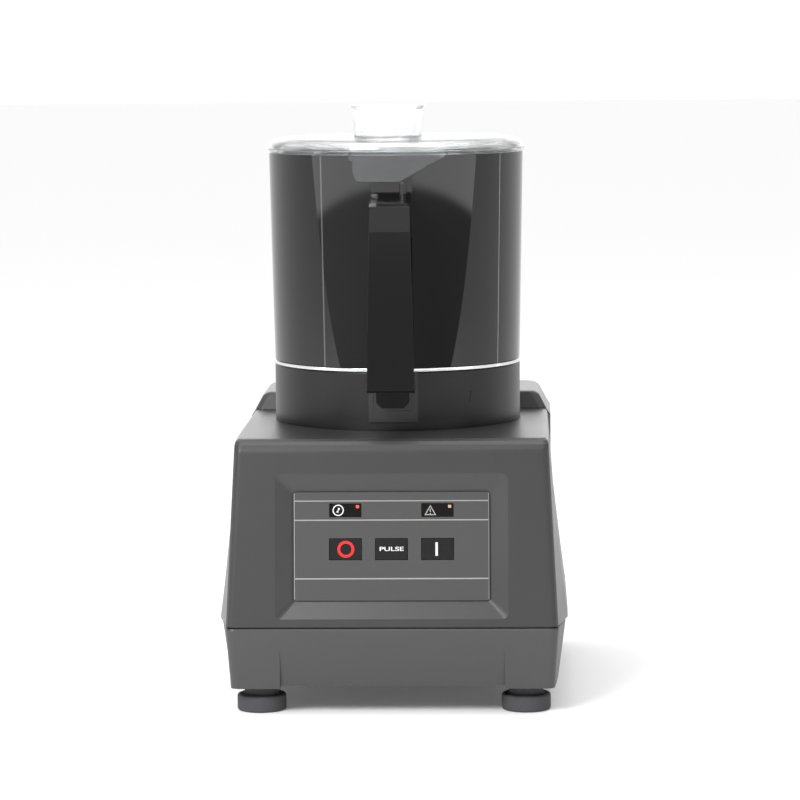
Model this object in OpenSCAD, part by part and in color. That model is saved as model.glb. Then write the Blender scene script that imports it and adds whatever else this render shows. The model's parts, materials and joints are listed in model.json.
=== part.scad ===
// Countertop vertical cutter mixer.
// Frame: origin on the drive axis at the table, +Z up, the front of the machine faces -Y, +X right.
// All lengths are millimetres.

/* [Base shell] */
// Height of the deck above the table
deck_z = 197.6; // [190:0.2:205]
// Height of the seam between shell and tray
seam_z = 63.7; // [60:0.1:67]
// Distance from the drive axis to the front at the seam
front_reach = 161.5; // [158:0.5:168]
// How far the front leans back between seam and deck
front_lean = 17; // [12:1:20]
// Half width of the front face at the seam
front_half = 119.2; // [116:0.2:122]
// Half width of the deck
deck_half = 112.4; // [110:0.2:114]
// Half width across the hips
hip_half = 126.5; // [124.5:0.5:130]
// Wall of the shell and of the tray
shell_wall = 3.5; // [3:0.25:4]
// Radius of the deck's front edge
deck_round = 12; // [9:1:15]
// Radius of the upright edges
corner_round = 6; // [5:0.5:8]
// How far the raised back stands above the deck
hump_rise = 13; // [9:1:16]

/* [Tray and feet] */
// Height of the tray's underside above the table
tray_z = 20.9; // [18.9:0.1:22]
// How far the tray draws in from seam to underside
tray_draft = 5.5; // [4:0.5:7]
// How far the corner pads stand proud of the tray's front
pad_proud = 2.6; // [1.5:0.2:3]
// Foot radius
foot_r = 17.7; // [15:0.1:19]
// Foot height below its neck
foot_h = 11.7; // [9:0.1:13]
// Distance from the corner of the front to the middle of a foot, across the machine
foot_inset_x = 23.6; // [22.2:0.2:29.2]
// Distance from the front of the machine to the middle of a foot
foot_inset_y = 31.5; // [27.5:0.5:39.5]

/* [Control panel] */
// Height of the panel's centre above the table
panel_z = 121.8; // [119.8:0.2:123]
// Panel width
panel_w = 140; // [133:0.5:143]
// Panel height
panel_h = 77.3; // [74:0.5:80]
// Width of the bevel round the panel
bevel_w = 13.2; // [9:0.2:13.6]
// Depth of the panel below the front face
recess_depth = 4; // [3:0.25:5]
// Key width
key_w = 22.8; // [20:0.2:25]
// Key height
key_h = 15; // [13:0.2:17]
// Distance between key centres
key_pitch = 32.9; // [30.4:0.1:36]
// Travel of a key
key_travel = 0.8; // [0.5:0.1:1.1]

/* [Bowl seat] */
// Outer radius of the seat's collar
seat_r = 92; // [91:0.25:92.5]
// Height of the collar above the deck
seat_h = 43; // [40:1:46]
// Wall of the collar
seat_wall = 4; // [3:0.25:4.5]
// Outer radius of the boss that carries the drive shaft into the bowl
boss_r = 16; // [15:0.25:16.5]

/* [Bowl] */
// Outer radius of the bowl at the rim
bowl_r = 95; // [94.5:0.25:96]
// Height of the bowl from its underside to its rim
bowl_h = 155.1; // [150:1:160]
// Wall of the bowl
bowl_wall = 3; // [2.5:0.25:3.5]
// How much narrower the bowl is at its foot
bowl_draft = 3; // [2:0.25:3.5]
// Outer radius of the tube in the middle of the bowl
chimney_r = 21; // [20.5:0.25:22]
// Height of that tube above the bowl's underside
chimney_h = 61; // [58:1:64]
// Radius between floor and wall inside the bowl
bowl_fillet = 8; // [6:1:10]

/* [Handle] */
// Distance from the drive axis to the front of the grip
grip_reach = 145; // [142:0.5:150]
// Thickness of the grip from front to back
grip_t = 17; // [15:0.5:19]
// Width of the grip at its top
grip_top_w = 28.5; // [27:0.5:30]
// Width of the grip at its foot
grip_foot_w = 34.2; // [32:0.5:36]
// Width of the channel against the bowl
channel_w = 30; // [29:0.5:32]
// Width of the tongue below the channel
tongue_w = 24; // [23:0.5:26]

/* [Lid] */
// Height of the lid's top above the bowl's rim
lid_h = 11; // [9:0.5:13]
// Wall of the lid
lid_wall = 3; // [2.5:0.25:3.5]
// Outer radius of the feed tube
tube_r = 25.6; // [23:0.2:28]
// Height of the feed tube above the bowl's rim
tube_h = 35.1; // [30:1:42]
// Inner radius of the feed tube
tube_bore = 23; // [20:0.2:23.4]
// Angle over which the tab's ramp rises
ramp_angle = 19.5; // [17:0.5:22]
// Height that the ramp rises
ramp_rise = 19; // [16:0.5:20]

/* [Knife] */
// Distance from the drive axis to the blade tips
blade_reach = 85.5; // [80:0.5:86]
// Blade thickness
blade_t = 2.5; // [2:0.25:3]
// Height between the two blades
blade_gap = 13.5; // [11:0.5:16]
// Wall of the knife hub's sleeve
hub_wall = 3.4; // [3:0.2:4]

/* [Motor] */
// Outer radius of the motor
motor_r = 60; // [57:0.5:63]
// Height of the stator core
stator_h = 46; // [40:1:50]
// Radius of the rotor
rotor_r = 31.5; // [29:0.5:34]
// Gap between rotor and stator
air_gap = 0.5; // [0.4:0.1:0.8]
// Radius of the drive shaft above the motor
shaft_r = 10; // [9.5:0.25:10.5]
// Radius of the fan
fan_r = 52; // [46:1:56]
// Number of fan blades
fan_blades = 9; // [7:1:11]
// Number of stator slots
stator_slots = 12; // [8:4:16]

/* [Fits] */
// Running gap round a turning shaft
running_gap = 0.05; // [0.03:0.01:0.08]
// Gap round parts that slide or lift off
sliding_gap = 0.3; // [0.25:0.05:0.4]
// Gap between parts of one assembly
fit_gap = 0.15; // [0.1:0.05:0.2]

/* [Hidden] */

round_fn = 96;      // facets of a large round part
small_fn = 40;      // facets of a small round part
overrun = 1;        // how far every cut runs past what it cuts

// Shell form
seam_bevel = 1.2;       // bevel at the foot of the shell
gland_out = 8.3;        // how far the cable inlet stands out behind the back wall
rear_reach = front_at(seam_z + seam_bevel) - gland_out;
knee_rise = 27;
knee_z = seam_z + knee_rise;   // height where the hips start to curve in
knee_in = 3.5;
knee_half = hip_half - knee_in;
flare_rise = 70;
flare_z = seam_z + flare_rise;  // height where the hips have merged into the straight side
flare_out = 5.4;
flare_half = deck_half + flare_out;
deck_swell = 0.6;
deck_side_half = deck_half + deck_swell;
side_round = 4;         // radius of the deck's side edges
rear_lean = 3;          // how far the back wall leans in between seam and deck
bulge_share = 0.16;     // part of the depth over which the hips swell out
corner_steps = 4;
side_steps = 8;
round_steps = 5;
face_lean = atan(front_lean / (deck_z - seam_z));
hump_start = 57;        // from the drive axis to the foot of the raised back
hump_slope = 5;         // how far the raised back leans away from the bowl
hump_foot_rise = 58;
hump_foot_z = seam_z + hump_foot_rise;
shoulder_out = 3.1;
shoulder_half = deck_half + shoulder_out;
shoulder_drop = 5;      // the shoulder ends this far below the deck
hump_in = 8.4;
hump_half = deck_half - hump_in;
hump_round = 3;
hump_proud = 0.3;       // how far the raised back stands proud of the back wall
hump_clear = 4;         // gap between the collar and the raised back
vent_count = 11;
vent_w = 4;
vent_pitch = 9;
vent_h = 44;
vent_rise = 40;
vent_low = seam_z + vent_rise;
floor_vent_h = 70;

// Tray form
seam_gap = 0.4;
tray_top = seam_z - seam_gap;
tray_in = 1.8;
tray_side_half = hip_half - tray_in;
pad_drop = 1.8;         // the corner pads reach this far below the underside
pad_x = 80.5;           // from the middle to the inner edge of a corner pad
pad_fade = 14.5;
pad_fade_z = seam_z - pad_fade;
side_pad_y = 98;        // from the middle to the side edge of a corner pad
lip_h = 3;              // height of the tray's lip inside the shell
lip_t = 2;
foot_neck_r = 12.5;
foot_chamfer = 1.5;
foot_sink_r = 6;        // recess for the screw head under a foot
foot_sink_h = 6;
foot_x = front_half - foot_inset_x;
foot_y = front_reach - foot_inset_y;
foot_shift = 4;
foot_front_y = -foot_y;
foot_rear_y = foot_y - foot_shift;
screw_r = 3;            // large screws
screw_head_r = 5.4;
screw_head_h = 3.4;
foot_boss_r = 9;
foot_boss_h = 16;
housing_post_r = 6;
post_rib_w = 3;         // rib from a screw post to the side wall
housing_screw_x = min(flare_half, tray_side_half - tray_draft) - shell_wall - housing_post_r + fit_gap;
housing_screw_y = 62;
post_rise = 12;
housing_boss_top = flare_z + post_rise;
small_screw_r = 1.9;
small_head_r = 3.7;
small_head_h = 2.6;
thread_depth = 12;

// Panel, in the frame of the front face: X right, Y up the face, Z out of it
overlay_t = 1.5;
recess_floor = -recess_depth;
recess_corner = 5;
panel_corner = 2;
panel_gap = 0.2;
backing_t = 3.5;
backing_margin = 4;
backing_bottom = recess_floor - backing_t;
key_y = -2;             // height of the key row from the panel's centre
lamp_y = 25.8;          // height of the lamp row
lamp_h = 9.5;
key_proud = 0.2;
key_corner = 1;
key_skirt = 1.5;        // flange that holds a key behind the panel
key_skirt_t = 0.8;
key_stem_r = 3;
key_stem_h = 1.1;
skirt_gap = 0.1;
key_top = recess_floor + overlay_t + key_proud;
key_skirt_top = backing_bottom - skirt_gap;
key_stem_end = key_skirt_top - key_skirt_t - key_stem_h;
plunger_r = 1.6;
plunger_h = 0.6;
switch_w = 6;
switch_h = 2.5;
switch_gap = 0.2;
plunger_top = key_stem_end - key_travel - switch_gap;
board_top = plunger_top - plunger_h - switch_h;
board_t = 1.6;
board_short_w = 16;
board_w = panel_w - board_short_w;
board_short_h = 11;
board_h = panel_h - board_short_h;
board_post_r = 3.5;
board_post_in = 5;
board_post_x = board_w / 2 - board_post_in;
board_post_y = board_h / 2 - board_post_in;
led_r = 1.5;
led_hole_r = 2;
led_x = 8;              // from the lamp window's middle to its lamp
led_sunk = 0.6;
led_tip = recess_floor - led_sunk;
rule_w = 0.9;           // light rules pressed into the overlay
rule_depth = 0.25;
rule_shares = [0.42, 0.243, -0.298];   // heights of the rules, as parts of the panel's height

// Bowl seat
seat_top = deck_z + seat_h;
seat_floor_t = 5;
seat_chamfer = 1;
seat_floor_z = deck_z + seat_floor_t;
spigot_r = 40;
boss_rise = 46;
boss_top = seat_top + boss_rise;
boss_play = 2.2;
boss_bore = shaft_r + boss_play;
seal_h = 8;
keeper_w = 36;
keeper_proud = 3;
keeper_rise = 6.6;
keeper_low = deck_z + keeper_rise;
keeper_drop = 0.6;
keeper_high = seat_top - keeper_drop;
keeper_r = seat_r + keeper_proud;
keeper_wall = 1.6;
keeper_corner = 3;
keeper_landing_share = 0.8;
keeper_turn = asin(keeper_w / 2 / keeper_r);
fit_turn = asin(fit_gap / seat_r);
sensor_r = 1.7;
sensor_h = 16;
sensor_out = 0.25;
sensor_seat_r = seat_r + sensor_out;
mark_angle = 37;        // where the handle points when the bowl is unlocked
mark_w = 3.6;
mark_h = 8;
mark_depth = 0.5;
mark_rise = 19;
mark_z = deck_z + mark_rise;

// Ring and bowl
ring_h = 2.3;
ring_inset = 7;
ring_in = seat_r - ring_inset;
ring_proud = 0.5;
ring_out = seat_r + ring_proud;
ring_notch_w = 5;
ring_notch_d = 2.2;
bowl_z = seat_top + ring_h;
bowl_foot_r = bowl_r - bowl_draft;
rim_z = bowl_z + bowl_h;
floor_t = 3.7;
floor_z = bowl_z + floor_t;
skirt_play = 0.4;
skirt_r = ring_in - sliding_gap - skirt_play;
skirt_drop = 32;
chimney_play = 2;
chimney_bore = boss_r + chimney_play;
chimney_top = bowl_z + chimney_h;
chimney_fillet = 1.8;   // radius between floor and chimney
rim_chamfer = 0.6;
inner_rim_r = bowl_r - bowl_wall;
inner_foot_r = bowl_foot_r - bowl_wall;
wall_foot_z = floor_z + bowl_fillet;
wall_pad_w = 30;
wall_pad_proud = 3;
wall_pad_drop = 27.2;
wall_pad_low = rim_z - wall_pad_drop;
wall_pad_top_drop = 4.2;
wall_pad_high = rim_z - wall_pad_top_drop;
arc_steps = 8;

// Handle, heights measured from the rim of the bowl
pad_clear = 0.2;
channel_top = wall_pad_low - pad_clear;
channel_depth = 11.5;
channel_front = bowl_r + channel_depth;
channel_back_gap = 0.15;
tongue_rise = 18;
tongue_z = deck_z + tongue_rise;
tongue_gap = 1.3;
tongue_back = keeper_r + tongue_gap;
tongue_corner = 4;
tongue_join = 0.7;
tongue_top = bowl_z + tongue_join;
grip_inner = grip_reach - grip_t;
grip_top_drop = 35;
grip_top_z = rim_z - grip_top_drop;
grip_slope = 11;
grip_top_reach = grip_reach - grip_slope;
facet_drop = 52.7;
facet_z = rim_z - facet_drop;
grip_foot_drop = 12.6;
grip_foot_z = bowl_z - grip_foot_drop;
grip_taper = 2;
grip_foot_reach = grip_reach - grip_taper;
gap_drop = 24;
gap_top_inner = channel_top - gap_drop;
gap_slope = 6;
gap_top_outer = gap_top_inner - gap_slope;
gap_foot_rise = 18;
gap_foot = grip_foot_z + gap_foot_rise;
grip_edge = 2.2;        // chamfer on the long edges of the grip
cover_t = 3;
cover_gap = 0.2;
boss_pad_r = 6;
boss_pad_x = -6;
high_screw_drop = 92;
handle_screw_high = rim_z - high_screw_drop;
low_screw_rise = 18;
handle_screw_low = bowl_z + low_screw_rise;
handle_screw_len = 12;

// Interlock rod
rod_r = 2.5;
track_out = 5.6;
rod_track = bowl_r + track_out;      // radius of the circle that the rod and the tab share
tab_z = rim_z - ramp_rise;     // lowest edge of the tab
ramp_start = 3.4;              // angles from the front, positive to the right
rod_side_gap = 0.1;
rod_turn = ramp_start + asin((rod_r + rod_side_gap) / rod_track);
rod_x = rod_track * sin(rod_turn);
rod_y = -rod_track * cos(rod_turn);
rod_top = tab_z - sliding_gap;
rod_low_rise = 11;
rod_low = tongue_z + rod_low_rise;
rod_travel = ramp_rise;
magnet_r = rod_r;              // passes through the coil when the rod rises
magnet_h = 8;
magnet_bore = magnet_r + sliding_gap;
tongue_floor = 2.2;
spring_rise = 21;
spring_low = tongue_z + spring_rise;
spring_len = 30;
spring_r = 4.1;
spring_wire = 0.55;
spring_turns = 9;
spring_play = 0.4;
spring_bore = spring_r + spring_play;
rod_collar_h = 3;
rod_bore = rod_r + sliding_gap;
spring_sides = 6;
spring_steps = 12;

// Lid
flange_out = 1;
lid_flange_r = bowl_r + flange_out;
lid_flange_h = 3.7;
lid_top = rim_z + lid_h;
lid_shoulder_w = 14.5;
lid_flat_r = bowl_r - lid_shoulder_w;
plug_gap = 0.6;
lid_plug_r = inner_rim_r - plug_gap;
lid_plug_h = 10.4;
lid_shoulder_steps = 6;
tube_x = -4.5;
tube_y = -35;
tube_top = rim_z + tube_h;
tube_lip = 2.4;
tube_lip_h = 3.4;
tab_gap = 0.5;
tab_in = wall_pad_proud + bowl_r + tab_gap;
tab_out = rod_track + (rod_track - tab_in);
tab_start = -15.8;
tab_corner_share = 0.16;      // part of the flat edge that rounds up to the tab's left side
shelf_h = 3.7;
shelf_gap = 0.4;
shelf_in = bowl_r + shelf_gap;
shelf_top_h = 2.7;
link_over = 1.6;               // how far the link runs past the tab, in degrees
ramp_steps = 13;
corner_points = 5;
flat_points = 7;
groove_drop = 7.4;
seal_groove_z = rim_z - groove_drop;
seal_groove_h = 2.8;
seal_groove_depth = 1.5;
seal_ring_gap = 0.25;

// Knife
hub_play = 0.6;
hub_bore = chimney_r + hub_play;
hub_r = hub_bore + hub_wall;
hub_low = floor_z + chimney_fillet + sliding_gap;
hub_flange_w = 5;
hub_flange_r = hub_r + hub_flange_w;
hub_flange_h = 2.5;
hub_lift = 1;
hub_shoulder = chimney_top + hub_lift;
drive_h = 20;
shaft_top = hub_shoulder + drive_h;
flat_half = 7;                // half the width across the shaft's two flats
drive_step = 1;
drive_r = shaft_r - drive_step;
hub_crown = 6;
hub_top = shaft_top + hub_crown;
cap_r = 18;
cap_h = 12;
cap_flutes = 8;
flute_r = 3;
cap_round = 3;
blade_ring_w = 6;
ring_r = hub_r + blade_ring_w;
blade_bore = hub_r + fit_gap;
lower_blade_z = hub_low + hub_flange_h;
spacer_z = lower_blade_z + blade_t;
upper_blade_z = spacer_z + blade_gap;
nut_z = upper_blade_z + blade_t;
nut_h = 7;
nut_flats = 8;
root_out = 2;
blade_root = hub_r + root_out;
blade_sweep = 48;             // how far the tip trails the root, in degrees
blade_root_half = 12;
blade_tip_half = 1.6;
bevel_share = 0.5;            // part of the cutting side's width that is ground to a bevel
blade_steps = 14;
knife_turn = 25;

// Motor, hung below the deck
plate_t = 4;
plate_drop = 4;               // from the inside of the deck to the plate
deck_inside = deck_z - shell_wall;
plate_top = deck_inside - plate_drop;
plate_z = plate_top - plate_t;
plate_half_x = 84;
plate_half_y = 70;
plate_post_x = 76;
plate_post_y = 60;
plate_post_r = 6;
plate_hole_r = 26;
cap_t = 13.5;
can_t = 1.5;
top_cap_z = plate_z - cap_t;
can_h = 84;
can_z = top_cap_z - can_h;
bottom_cap_z = can_z - cap_t;
bearing_h = 12;
upper_bearing_r = 21;
lower_bearing_r = 20;
lower_step = 1.5;
lower_shaft_r = shaft_r - lower_step;
mid_step = 2;
mid_shaft_r = shaft_r + mid_step;
stator_rise = 20;
stator_z = can_z + stator_rise;
stator_r = motor_r - can_t - fit_gap;
stator_bore = rotor_r + air_gap;
slot_w = 8;
slot_depth = 15;
slot_mouth = 3;
slot_neck = 2;
winding_h = 12;
winding_wall = 4;
winding_gap = 0.5;
rotor_drop = 2;
rotor_z = stator_z - rotor_drop;
rotor_h = stator_h + 2 * rotor_drop;
end_ring_h = 6;
bolt_r = 2.5;
bolt_turn = 45;
ear_r = 7;
bolt_out = 6;
bolt_circle = motor_r + bolt_out;
fan_drop = 22;
fan_z = bottom_cap_z - fan_drop;
fan_h = 18;
fan_hub_r = 14;
fan_tilt = 40;
fan_blade_t = 2;
shaft_foot_drop = 3;
shaft_foot = fan_z - shaft_foot_drop;
shield_r_share = 0.62;
shield_depth = 0.6;
shield_w = 2;
sway_gap = 2;

// Electrical parts on the tray
tray_floor = tray_z + shell_wall;
capacitor_r = 19;
capacitor_l = 78;
capacitor_gap = 19;           // between the capacitor and the terminal block
capacitor_inset = 45;
clip_t = 1.5;
clip_w = 14;
clip_pitch = 46;
block_l = 40;
block_w = 16;
block_h = 18;
block_inset_x = 48.5;         // from the hips to the middle of the terminal block
block_inset_y = 57;
block_x = hip_half - block_inset_x;
block_y = rear_reach - block_inset_y;
capacitor_x = block_x - block_l / 2 - capacitor_gap - capacitor_l / 2;
capacitor_y = rear_reach - capacitor_inset;
block_ways = 3;
gland_x = -70;
gland_rise = 22;
gland_z = seam_z + gland_rise;
gland_r = 9;
gland_bore = 4.2;
gland_nut_h = 5;
nut_sides = 6;
gland_body_r = 7.5;
gland_in = 10;

// Points on an arc in a plane
function arc(cx, cy, r, from, to, steps) =
    [for (i = [0:steps]) let (a = from + (to - from) * i / steps) [cx + r * cos(a), cy + r * sin(a)]];

// How much of its swell a side has, a share t of the way from front to back
function swell(t) = sin(90 * min(1, t / bulge_share, (1 - t) / bulge_share));

// Rounded outline at height z: half width at the corners and at the sides, reach to front and back
function plan_ring(z, corner_half, side_half, front, rear, r) = [for (p = concat(
    arc(corner_half - r, r - front, r, -90, 0, corner_steps),
    [for (i = [1:side_steps - 1]) let (t = i / side_steps)
        [corner_half + (side_half - corner_half) * swell(t), r - front + (front + rear - 2 * r) * t]],
    arc(corner_half - r, rear - r, r, 0, 90, corner_steps),
    arc(r - corner_half, rear - r, r, 90, 180, corner_steps),
    [for (i = [side_steps - 1:-1:1]) let (t = i / side_steps)
        [-corner_half - (side_half - corner_half) * swell(t), r - front + (front + rear - 2 * r) * t]],
    arc(r - corner_half, r - front, r, 180, 270, corner_steps))) [p[0], p[1], z]];

// Rounded rectangle at height z
function rect_ring(z, half_w, half_h, r) = [for (p = concat(
    arc(half_w - r, r - half_h, r, -90, 0, corner_steps),
    arc(half_w - r, half_h - r, r, 0, 90, corner_steps),
    arc(r - half_w, half_h - r, r, 90, 180, corner_steps),
    arc(r - half_w, r - half_h, r, 180, 270, corner_steps))) [p[0], p[1], z]];

// Closed solid through a stack of rings that have the same number of points. A banded ring runs out
// along one edge and back along the other, and its ends are closed between the two edges.
module loft(rings, banded = false) {
    n = len(rings[0]);
    last = len(rings) - 1;
    polyhedron(
        points = [for (ring = rings) each ring],
        faces = concat(
            banded ? [for (i = [0:n / 2 - 2]) each [[i, i + 1, n - 2 - i], [i, n - 2 - i, n - 1 - i]]]
                : [[for (i = [0:n - 1]) i]],
            banded ? [for (i = [0:n / 2 - 2]) each [[last * n + n - 2 - i, last * n + i + 1, last * n + i],
                    [last * n + n - 1 - i, last * n + n - 2 - i, last * n + i]]]
                : [[for (i = [n - 1:-1:0]) last * n + i]],
            [for (k = [0:last - 1], i = [0:n - 1]) let (j = (i + 1) % n)
                each [[k * n + i, (k + 1) * n + j, k * n + j],
                      [k * n + i, (k + 1) * n + i, (k + 1) * n + j]]]));
}

// A sector of a ring, from one angle to another, measured from the front and positive to the right
module sector(r_in, r_out, z, h, from, to) {
    translate([0, 0, z]) rotate([0, 0, from - 90]) rotate_extrude(angle = to - from, $fn = round_fn)
        translate([r_in, 0]) square([r_out - r_in, h]);
}

module ring(r_in, r_out, z, h, fn = round_fn) {
    translate([0, 0, z]) rotate_extrude($fn = fn)
        translate([r_in, 0]) square([r_out - r_in, h]);
}

module rod(r, z, h, fn = small_fn) {
    translate([0, 0, z]) cylinder(r = r, h = h, $fn = fn);
}

// Block centred in X and Y, standing on z
module block(w, d, z, h) {
    translate([-w / 2, -d / 2, z]) cube([w, d, h]);
}

// Moves into the frame of the sloped front face, with the panel's centre as origin
module on_face() {
    translate([0, -front_at(panel_z), panel_z]) rotate([90 - face_lean, 0, 0]) children();
}

// Size of the shell at height z
function rise_share(z) = (z - seam_z) / (deck_z - seam_z);
function front_at(z) = front_reach - front_lean * rise_share(z);
function rear_at(z) = rear_reach - rear_lean * rise_share(z);
function corner_at(z) = front_half + (deck_half - front_half) * rise_share(z);
function side_at(z) = lookup(z, [[seam_z, hip_half], [knee_z, knee_half],
    [flare_z, flare_half], [deck_z, deck_side_half]]);
// How far a rounded edge of radius r has drawn in at height z below a top
function round_in(z, top, r) = z <= top - r ? 0 : r - sqrt(max(0, r * r - pow(z - top + r, 2)));

// The shell's outside (inset 0) or its hollow (inset by the wall), from a low height up
function shell_rings(inset, low, low_inset) =
    let (top = deck_z - inset, r = deck_round - inset, side_r = max(side_round - inset, overrun),
        centre = front_reach - front_lean - inset - r * (1 - sin(face_lean)) / cos(face_lean),
        upright = corner_round - inset)
    concat(
        [plan_ring(low, corner_at(low) - low_inset, side_at(seam_z) - low_inset,
            front_at(low) - low_inset, rear_at(low) - low_inset, upright)],
        [for (z = [seam_z + seam_bevel, knee_z, flare_z])
            plan_ring(z, corner_at(z) - inset, side_at(z) - inset, front_at(z) - inset,
                rear_at(z) - inset, upright)],
        [for (k = [0:round_steps]) let (a = face_lean + (90 - face_lean) * k / round_steps,
                z = top - r + r * sin(a), drawn = round_in(z, top, side_r))
            plan_ring(z, corner_at(z) - inset - drawn, side_at(z) - inset - drawn,
                centre + r * cos(a), rear_at(z) - inset - drawn, upright)]);

// Shoulders at the rear of the shell, a little wider than the deck
function shoulder_rings() =
    [for (p = [[hump_foot_z, side_at(hump_foot_z) - 2 * overrun, 2 * overrun],
            [hump_foot_z + 2 * shell_wall, shoulder_half, -hump_proud],
            [deck_z - shoulder_drop, shoulder_half, -hump_proud],
            [deck_z - hump_proud, deck_half, -hump_proud]])
        plan_ring(p[0], p[1], p[1], -hump_start, rear_at(deck_z) - p[2], corner_round)];

// The raised back behind the bowl, inset for its hollow
function hump_rings(low, inset) =
    let (top = deck_z + hump_rise - inset)
    [for (p = [[low, deck_half, 0, -hump_proud],
            [top - hump_round, hump_half + hump_round, hump_slope, hump_round / 3],
            [top - hump_round / 4, hump_half, hump_slope + hump_round / 3, hump_round],
            [top, hump_half - hump_round, hump_slope + hump_round, 2 * hump_round]])
        plan_ring(p[0], p[1] - inset, p[1] - inset, -hump_start - p[2] - inset,
            rear_at(deck_z) - p[3] - inset, corner_round - inset)];

module vents() {
    for (i = [0:vent_count - 1])
        translate([(i - (vent_count - 1) / 2) * vent_pitch - vent_w / 2,
                rear_reach - 2 * shell_wall - rear_lean, vent_low])
            cube([vent_w, 3 * shell_wall + rear_lean, vent_h]);
}

module upper_housing() color([0.29, 0.29, 0.29]) difference() {
    union() {
        difference() {
            union() {
                loft(shell_rings(0, seam_z, seam_bevel));
                loft(shoulder_rings());
            }
            loft(shell_rings(shell_wall, seam_z - overrun, shell_wall));
        }
        on_face() {
            translate([0, 0, backing_bottom]) block(panel_w + 2 * bevel_w + backing_margin,
                panel_h + 2 * bevel_w, 0, backing_t + recess_depth / 2);
            for (x = [-board_post_x, board_post_x], y = [-board_post_y, board_post_y])
                translate([x, y, board_top]) cylinder(r = board_post_r,
                    h = backing_bottom - board_top + overrun, $fn = small_fn);
        }
        for (x = [-plate_post_x, plate_post_x], y = [-plate_post_y, plate_post_y])
            translate([x, y]) rod(plate_post_r, plate_top, plate_drop + shell_wall / 2);
        for (x = [-housing_screw_x, housing_screw_x], y = [-housing_screw_y, housing_screw_y])
            translate([x, y]) rod(housing_post_r, seam_z, housing_boss_top - seam_z);
        for (side = [0, 1], y = [-housing_screw_y, housing_screw_y]) mirror([side, 0, 0])
            loft([for (z = [seam_z + lip_h + 2 * sliding_gap, knee_z, flare_z, housing_boss_top])
                let (wall_x = side_at(z) - shell_wall / 2)
                [[housing_screw_x, y - post_rib_w / 2, z], [wall_x, y - post_rib_w / 2, z],
                    [wall_x, y + post_rib_w / 2, z], [housing_screw_x, y + post_rib_w / 2, z]]]);
    }
    on_face() {
        loft([rect_ring(recess_floor, panel_w / 2 + panel_gap, panel_h / 2 + panel_gap, panel_corner),
            rect_ring(overrun, panel_w / 2 + bevel_w * (1 + overrun / recess_depth),
                panel_h / 2 + bevel_w * (1 + overrun / recess_depth), recess_corner)]);
        for (i = [-1:1]) translate([i * key_pitch, key_y])
            block(key_w + 2 * sliding_gap, key_h + 2 * sliding_gap, backing_bottom - overrun,
                backing_t + 2 * overrun);
        for (i = [-1, 1]) translate([i * key_pitch + led_x, lamp_y])
            rod(led_hole_r, backing_bottom - overrun, backing_t + 2 * overrun);
        for (x = [-board_post_x, board_post_x], y = [-board_post_y, board_post_y])
            translate([x, y]) rod(small_screw_r, board_top - overrun, overrun + small_head_r);
    }
    rod(spigot_r + fit_gap, deck_inside - overrun, shell_wall + 2 * overrun, round_fn);
    for (x = [-plate_post_x, plate_post_x], y = [-plate_post_y, plate_post_y])
        translate([x, y]) rod(small_screw_r, plate_top - overrun, plate_drop + overrun);
    for (x = [-housing_screw_x, housing_screw_x], y = [-housing_screw_y, housing_screw_y])
        translate([x, y]) rod(small_screw_r, seam_z - overrun, thread_depth + overrun);
    vents();
    translate([gland_x, rear_reach, gland_z]) rotate([90, 0, 0])
        rod(gland_body_r + fit_gap, -shell_wall, 3 * shell_wall);
}

module rear_hump() color([0.29, 0.29, 0.29]) difference() {
    loft(hump_rings(deck_z, 0));
    difference() {
        loft(hump_rings(deck_z - overrun, shell_wall));
        rod(seat_r + hump_clear + shell_wall, deck_z - 2 * overrun, hump_rise + 2 * overrun, round_fn);
    }
    rod(seat_r + hump_clear, deck_z - overrun, hump_rise + 2 * overrun, round_fn);
}

// Front-to-back and side reliefs that leave the four corner pads
module tray_reliefs() {
    foot_reach = front_reach - tray_draft;
    for (side = [-1, 1]) {
        end = side < 0 ? 0 : rear_reach - front_reach;
        rotate([90, 0, 90]) linear_extrude(2 * pad_x, center = true)
            polygon([[side * (foot_reach - pad_proud) + end, tray_z - pad_drop - overrun],
                [side * (foot_reach - pad_proud) + end, tray_z],
                [side * (foot_reach + tray_draft * (pad_fade_z - tray_z) / (tray_top - tray_z)) + end,
                    pad_fade_z],
                [side * (front_reach + overrun) + end, pad_fade_z],
                [side * (front_reach + overrun) + end, tray_z - pad_drop - overrun]]);
    }
    block(2 * pad_x, 2 * front_reach + 2 * overrun, tray_z - pad_drop - overrun, pad_drop + overrun);
    block(2 * (hip_half + overrun), 2 * side_pad_y, tray_z - pad_drop - overrun, pad_drop + overrun);
}

function tray_ring(z, inset, r) =
    let (share = (tray_top - z) / (tray_top - tray_z))
    plan_ring(z, front_half - inset - tray_draft * share / 2, tray_side_half - inset - tray_draft * share,
        front_reach - inset - tray_draft * share, rear_reach - inset - tray_draft * share, r);

// Outline of the lip where it stands inside the shell
function lip_ring(z, inset) = plan_ring(z, corner_at(z) - inset, min(side_at(z), tray_side_half) - inset,
    front_at(z) - inset, rear_at(z) - inset, corner_round - shell_wall);

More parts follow.
